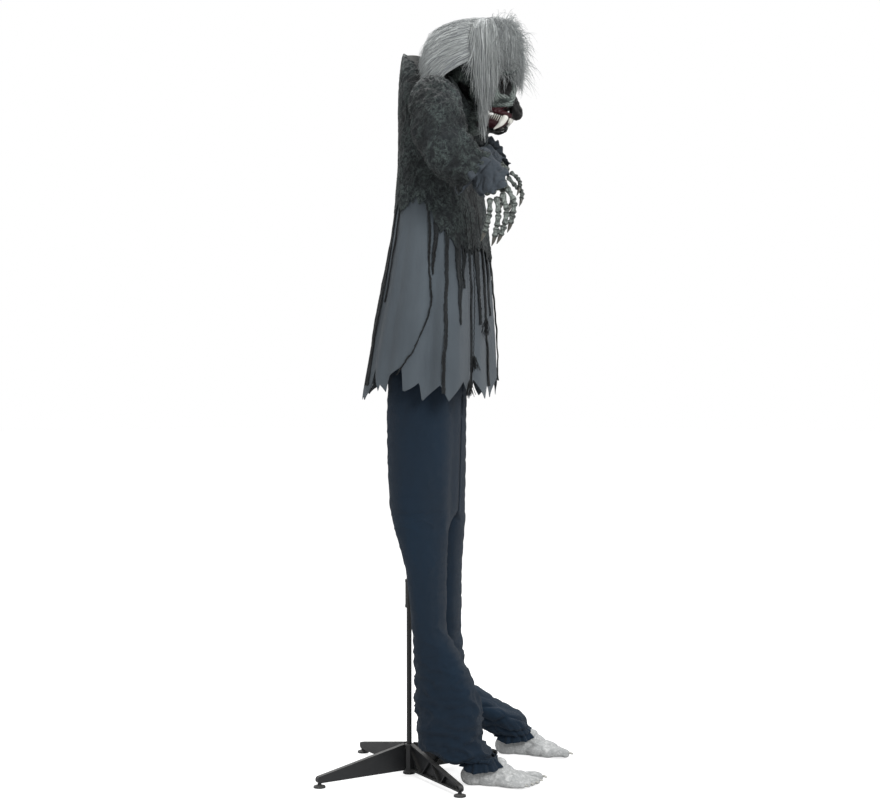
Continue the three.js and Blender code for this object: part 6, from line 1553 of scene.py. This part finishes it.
def wing_stops(spread, depth, draw):
    """Stops of the hair combed back: spread is -1 to 1 over the section, depth 0 inside and 1 outside."""
    s, fall = np.sin(spread * np.pi / 2), 1 - np.cos(spread * np.pi / 2)
    skin = 0.80 + 0.20 * depth
    ragged = draw.uniform(0, 1, len(spread))
    reach = 0.72 + 0.28 * ragged
    stops = []
    for k, (y, wide, top, drop) in enumerate(WING_ROWS):
        late = k / (len(WING_ROWS) - 1)
        back = y - (1 - reach) * 46 * late ** 2 - 22 * np.abs(spread) ** 3 * late ** 2
        z = CROWN[2] + (top - drop * fall - CROWN[2]) * skin - 14 * late ** 3 * (1 - ragged)
        x = wide * s * (0.86 + 0.14 * depth)
        stops.append(np.stack([x, back, z], -1))
    return np.stack(stops, 1)


def fall_stops(turn, depth, draw):
    """Stops of the hair that falls over the face: turn is 0 in front and 90 or -90 degrees at the sides."""
    angle = np.radians(turn)
    size = np.abs(turn)
    low = np.interp(size, *np.array(FALL_ENDS).T)
    low = low + draw.uniform(-6, 46, len(turn)) * np.interp(size, [0, 30, 60, 90], [1.8, 0.9, 0.9, 1.2])
    low = np.where(turn > 0, np.maximum(low, 1508 + draw.uniform(0, 20, len(turn))), low)
    plan = np.stack([91 * np.sin(angle), -71 * np.cos(angle)], -1)
    skin = (0.80 + 0.20 * depth)[:, None]
    root = np.stack([plan[:, 0] * 0.22, CROWN[1] - 8 + (plan[:, 1] - 6) * 0.2, CROWN[2] + 8 * depth], -1)
    stops = [root]
    gather = np.clip((1640 - low) / 170, 0, 1) * ease(size, 55, 85)
    back = 26 * ease(size, 97, 104)
    for share, wide, z in FALL_PARTS:
        spot = plan * wide * skin
        shift = (-198 - FALL_MIDDLE[1] - spot[:, 1]) * 0.62 * gather * share + back * share
        height = 1650 + (low - 1650) * share if z is None else np.full(len(turn), float(z))
        far = spot[:, 1] + shift + FALL_MIDDLE[1]
        stops.append(np.column_stack([spot[:, 0], far, np.minimum(height, 1720) - 6 * (1 - depth)]))
    return np.stack(stops, 1)


def combed(kind, count, steps, seed, wild):
    """Curves of one field: random places, gathered into clumps towards their tips, with loose waves."""
    draw = np.random.default_rng(seed)
    heart = draw.uniform(-1, 1, CLUMP_COUNT)
    own = draw.uniform(-1, 1, count)
    near = heart[np.abs(own[:, None] - heart[None]).argmin(1)]
    depth = draw.uniform(0, 1, count) ** 0.5
    leading = np.linspace(0, 1, 6)[None, :, None] ** 1.5 * 0.55
    field, reach = (wing_stops, 1) if kind == "wing" else (fall_stops, FALL_REACH)
    free = field(own * reach, depth, draw)
    stops = free * (1 - leading) + field(near * reach, depth * 0.9 + 0.1, draw) * leading
    curves = many_curves(stops, steps)
    t = np.linspace(0, 1, steps)[None, :, None]
    phase = draw.uniform(0, TURN, (count, 1, 3))
    loose = np.sin(t * draw.uniform(4, 11, (count, 1, 3)) + phase) * t ** 1.2
    return curves + loose * wild, draw


def hair_piece(name, paths, width, flat, own, sides):
    """Thin closed tubes along the paths, slim at the tip, with the hair's point masks."""
    steps = paths.shape[1]
    t = np.linspace(0, 1, steps)
    profile = (0.75 + 0.25 * np.sin(np.pi * np.minimum(t * 2, 1))) * (1 - ease(t, 0.6, 1.0) * 0.75)
    radii = width[:, None] * profile[None]
    middle = np.array([0.0, -150.0, 1600.0])
    spread = np.cross(paths - middle, np.gradient(paths, axis=1))
    points, faces = thread_tubes(paths, radii, sides, flat, spread)
    each = steps * sides
    masks = {"own": np.repeat(own, each), "along": np.tile(np.repeat(t, sides), len(paths)),
             "around": np.tile(np.arange(sides) / sides, len(paths) * steps)}
    made = add_mesh(name, points, faces, HAIR, masks)
    return settle(made, "head", "grey_hair")


def hair_cap():
    """A closed shell under the locks, from the brow to the nape, so that no skin shows between them."""
    rows = smooth_path(CAP_ROWS, CAP_STEPS)
    turns = np.linspace(0, TURN, CAP_COLUMNS, endpoint=False)[None]
    back, wide, top, bottom = (rows[:, i:i + 1] for i in range(4))
    x = wide * np.sign(np.cos(turns)) * np.abs(np.cos(turns)) ** 0.9
    z = (top + bottom) / 2 + (top - bottom) / 2 * np.sign(np.sin(turns)) * np.abs(np.sin(turns)) ** 0.9
    rings = np.stack([x, back + 0 * turns, z], -1)
    points, faces = closed_ends(rings)
    t = np.append(np.repeat(np.linspace(0, 1, CAP_STEPS), CAP_COLUMNS), [0, 1])
    around = np.append(np.tile(np.linspace(0, 24, CAP_COLUMNS), CAP_STEPS), [0, 0])
    masks = {"own": 0.05 + 0 * t, "along": 0.3 + 0.2 * t, "around": around}
    return settle(add_mesh("hair_cap", points, faces, HAIR, masks), "head", "grey_hair", "wig")


def frizz():
    """Short strands on the brow and the crown: each leaves the head, wanders and droops at its tip."""
    draw = np.random.default_rng(31)
    count = FRIZZ_COUNT
    turn = draw.uniform(-70, 70, count)
    height = draw.uniform(1590, 1722, count)
    angle = np.radians(turn)
    bulge = np.sqrt(np.clip(1 - ((height - 1640) / 110) ** 2, 0.2, 1))
    root = np.column_stack([86 * np.sin(angle) * bulge, FALL_MIDDLE[1] - 66 * np.cos(angle) * bulge, height])
    out = unit(root - [0, -185, 1640])
    droop = np.array([0, 0, -1.0])
    length = draw.uniform(8, 26, (count, 1)) * (1 + 0.8 * draw.uniform(0, 1, (count, 1)) ** 9)
    wander = draw.normal(0, 0.45, (count, 3))
    second = out * 0.85 + wander * 0.5 + droop * 0.25
    ways = [0 * out, out * 0.5 + wander * 0.2, second, out * 0.95 + wander + droop * 0.8]
    stops = np.stack([root + length * way for way in ways], 1)
    width, own = draw.uniform(0.35, 0.6, count), draw.uniform(0.2, 0.8, count)
    return hair_piece("hair_frizz", many_curves(stops, RIBBON_STEPS), width, 1.0, own, 3)


def all_hair():
    """The cap, ribbons and fine strands of both fields, and short frizzy ones at the brow and the crown."""
    pieces = [hair_cap()]
    for kind, seed in (("wing", 5), ("fall", 9)):
        paths, draw = combed(kind, RIBBON_COUNT[kind], RIBBON_STEPS, seed, 4.0)
        width, own = draw.uniform(1.2, 2.6, len(paths)), draw.uniform(0, 1, len(paths))
        pieces.append(hair_piece(f"hair_{kind}_locks", paths, width, 0.3, own, 4))
        paths, draw = combed(kind, FINE_COUNT[kind], FINE_STEPS, seed + 1, 8.5)
        width, own = draw.uniform(0.35, 0.7, len(paths)), draw.uniform(0, 1, len(paths))
        pieces.append(hair_piece(f"hair_{kind}_fine", paths, width, 0.8, own, 3))
    pieces.append(frizz())
    print("hair", {piece.name: len(piece.data.polygons) for piece in pieces})
    return pieces


hair = all_hair()
print("hair pieces", len(hair))
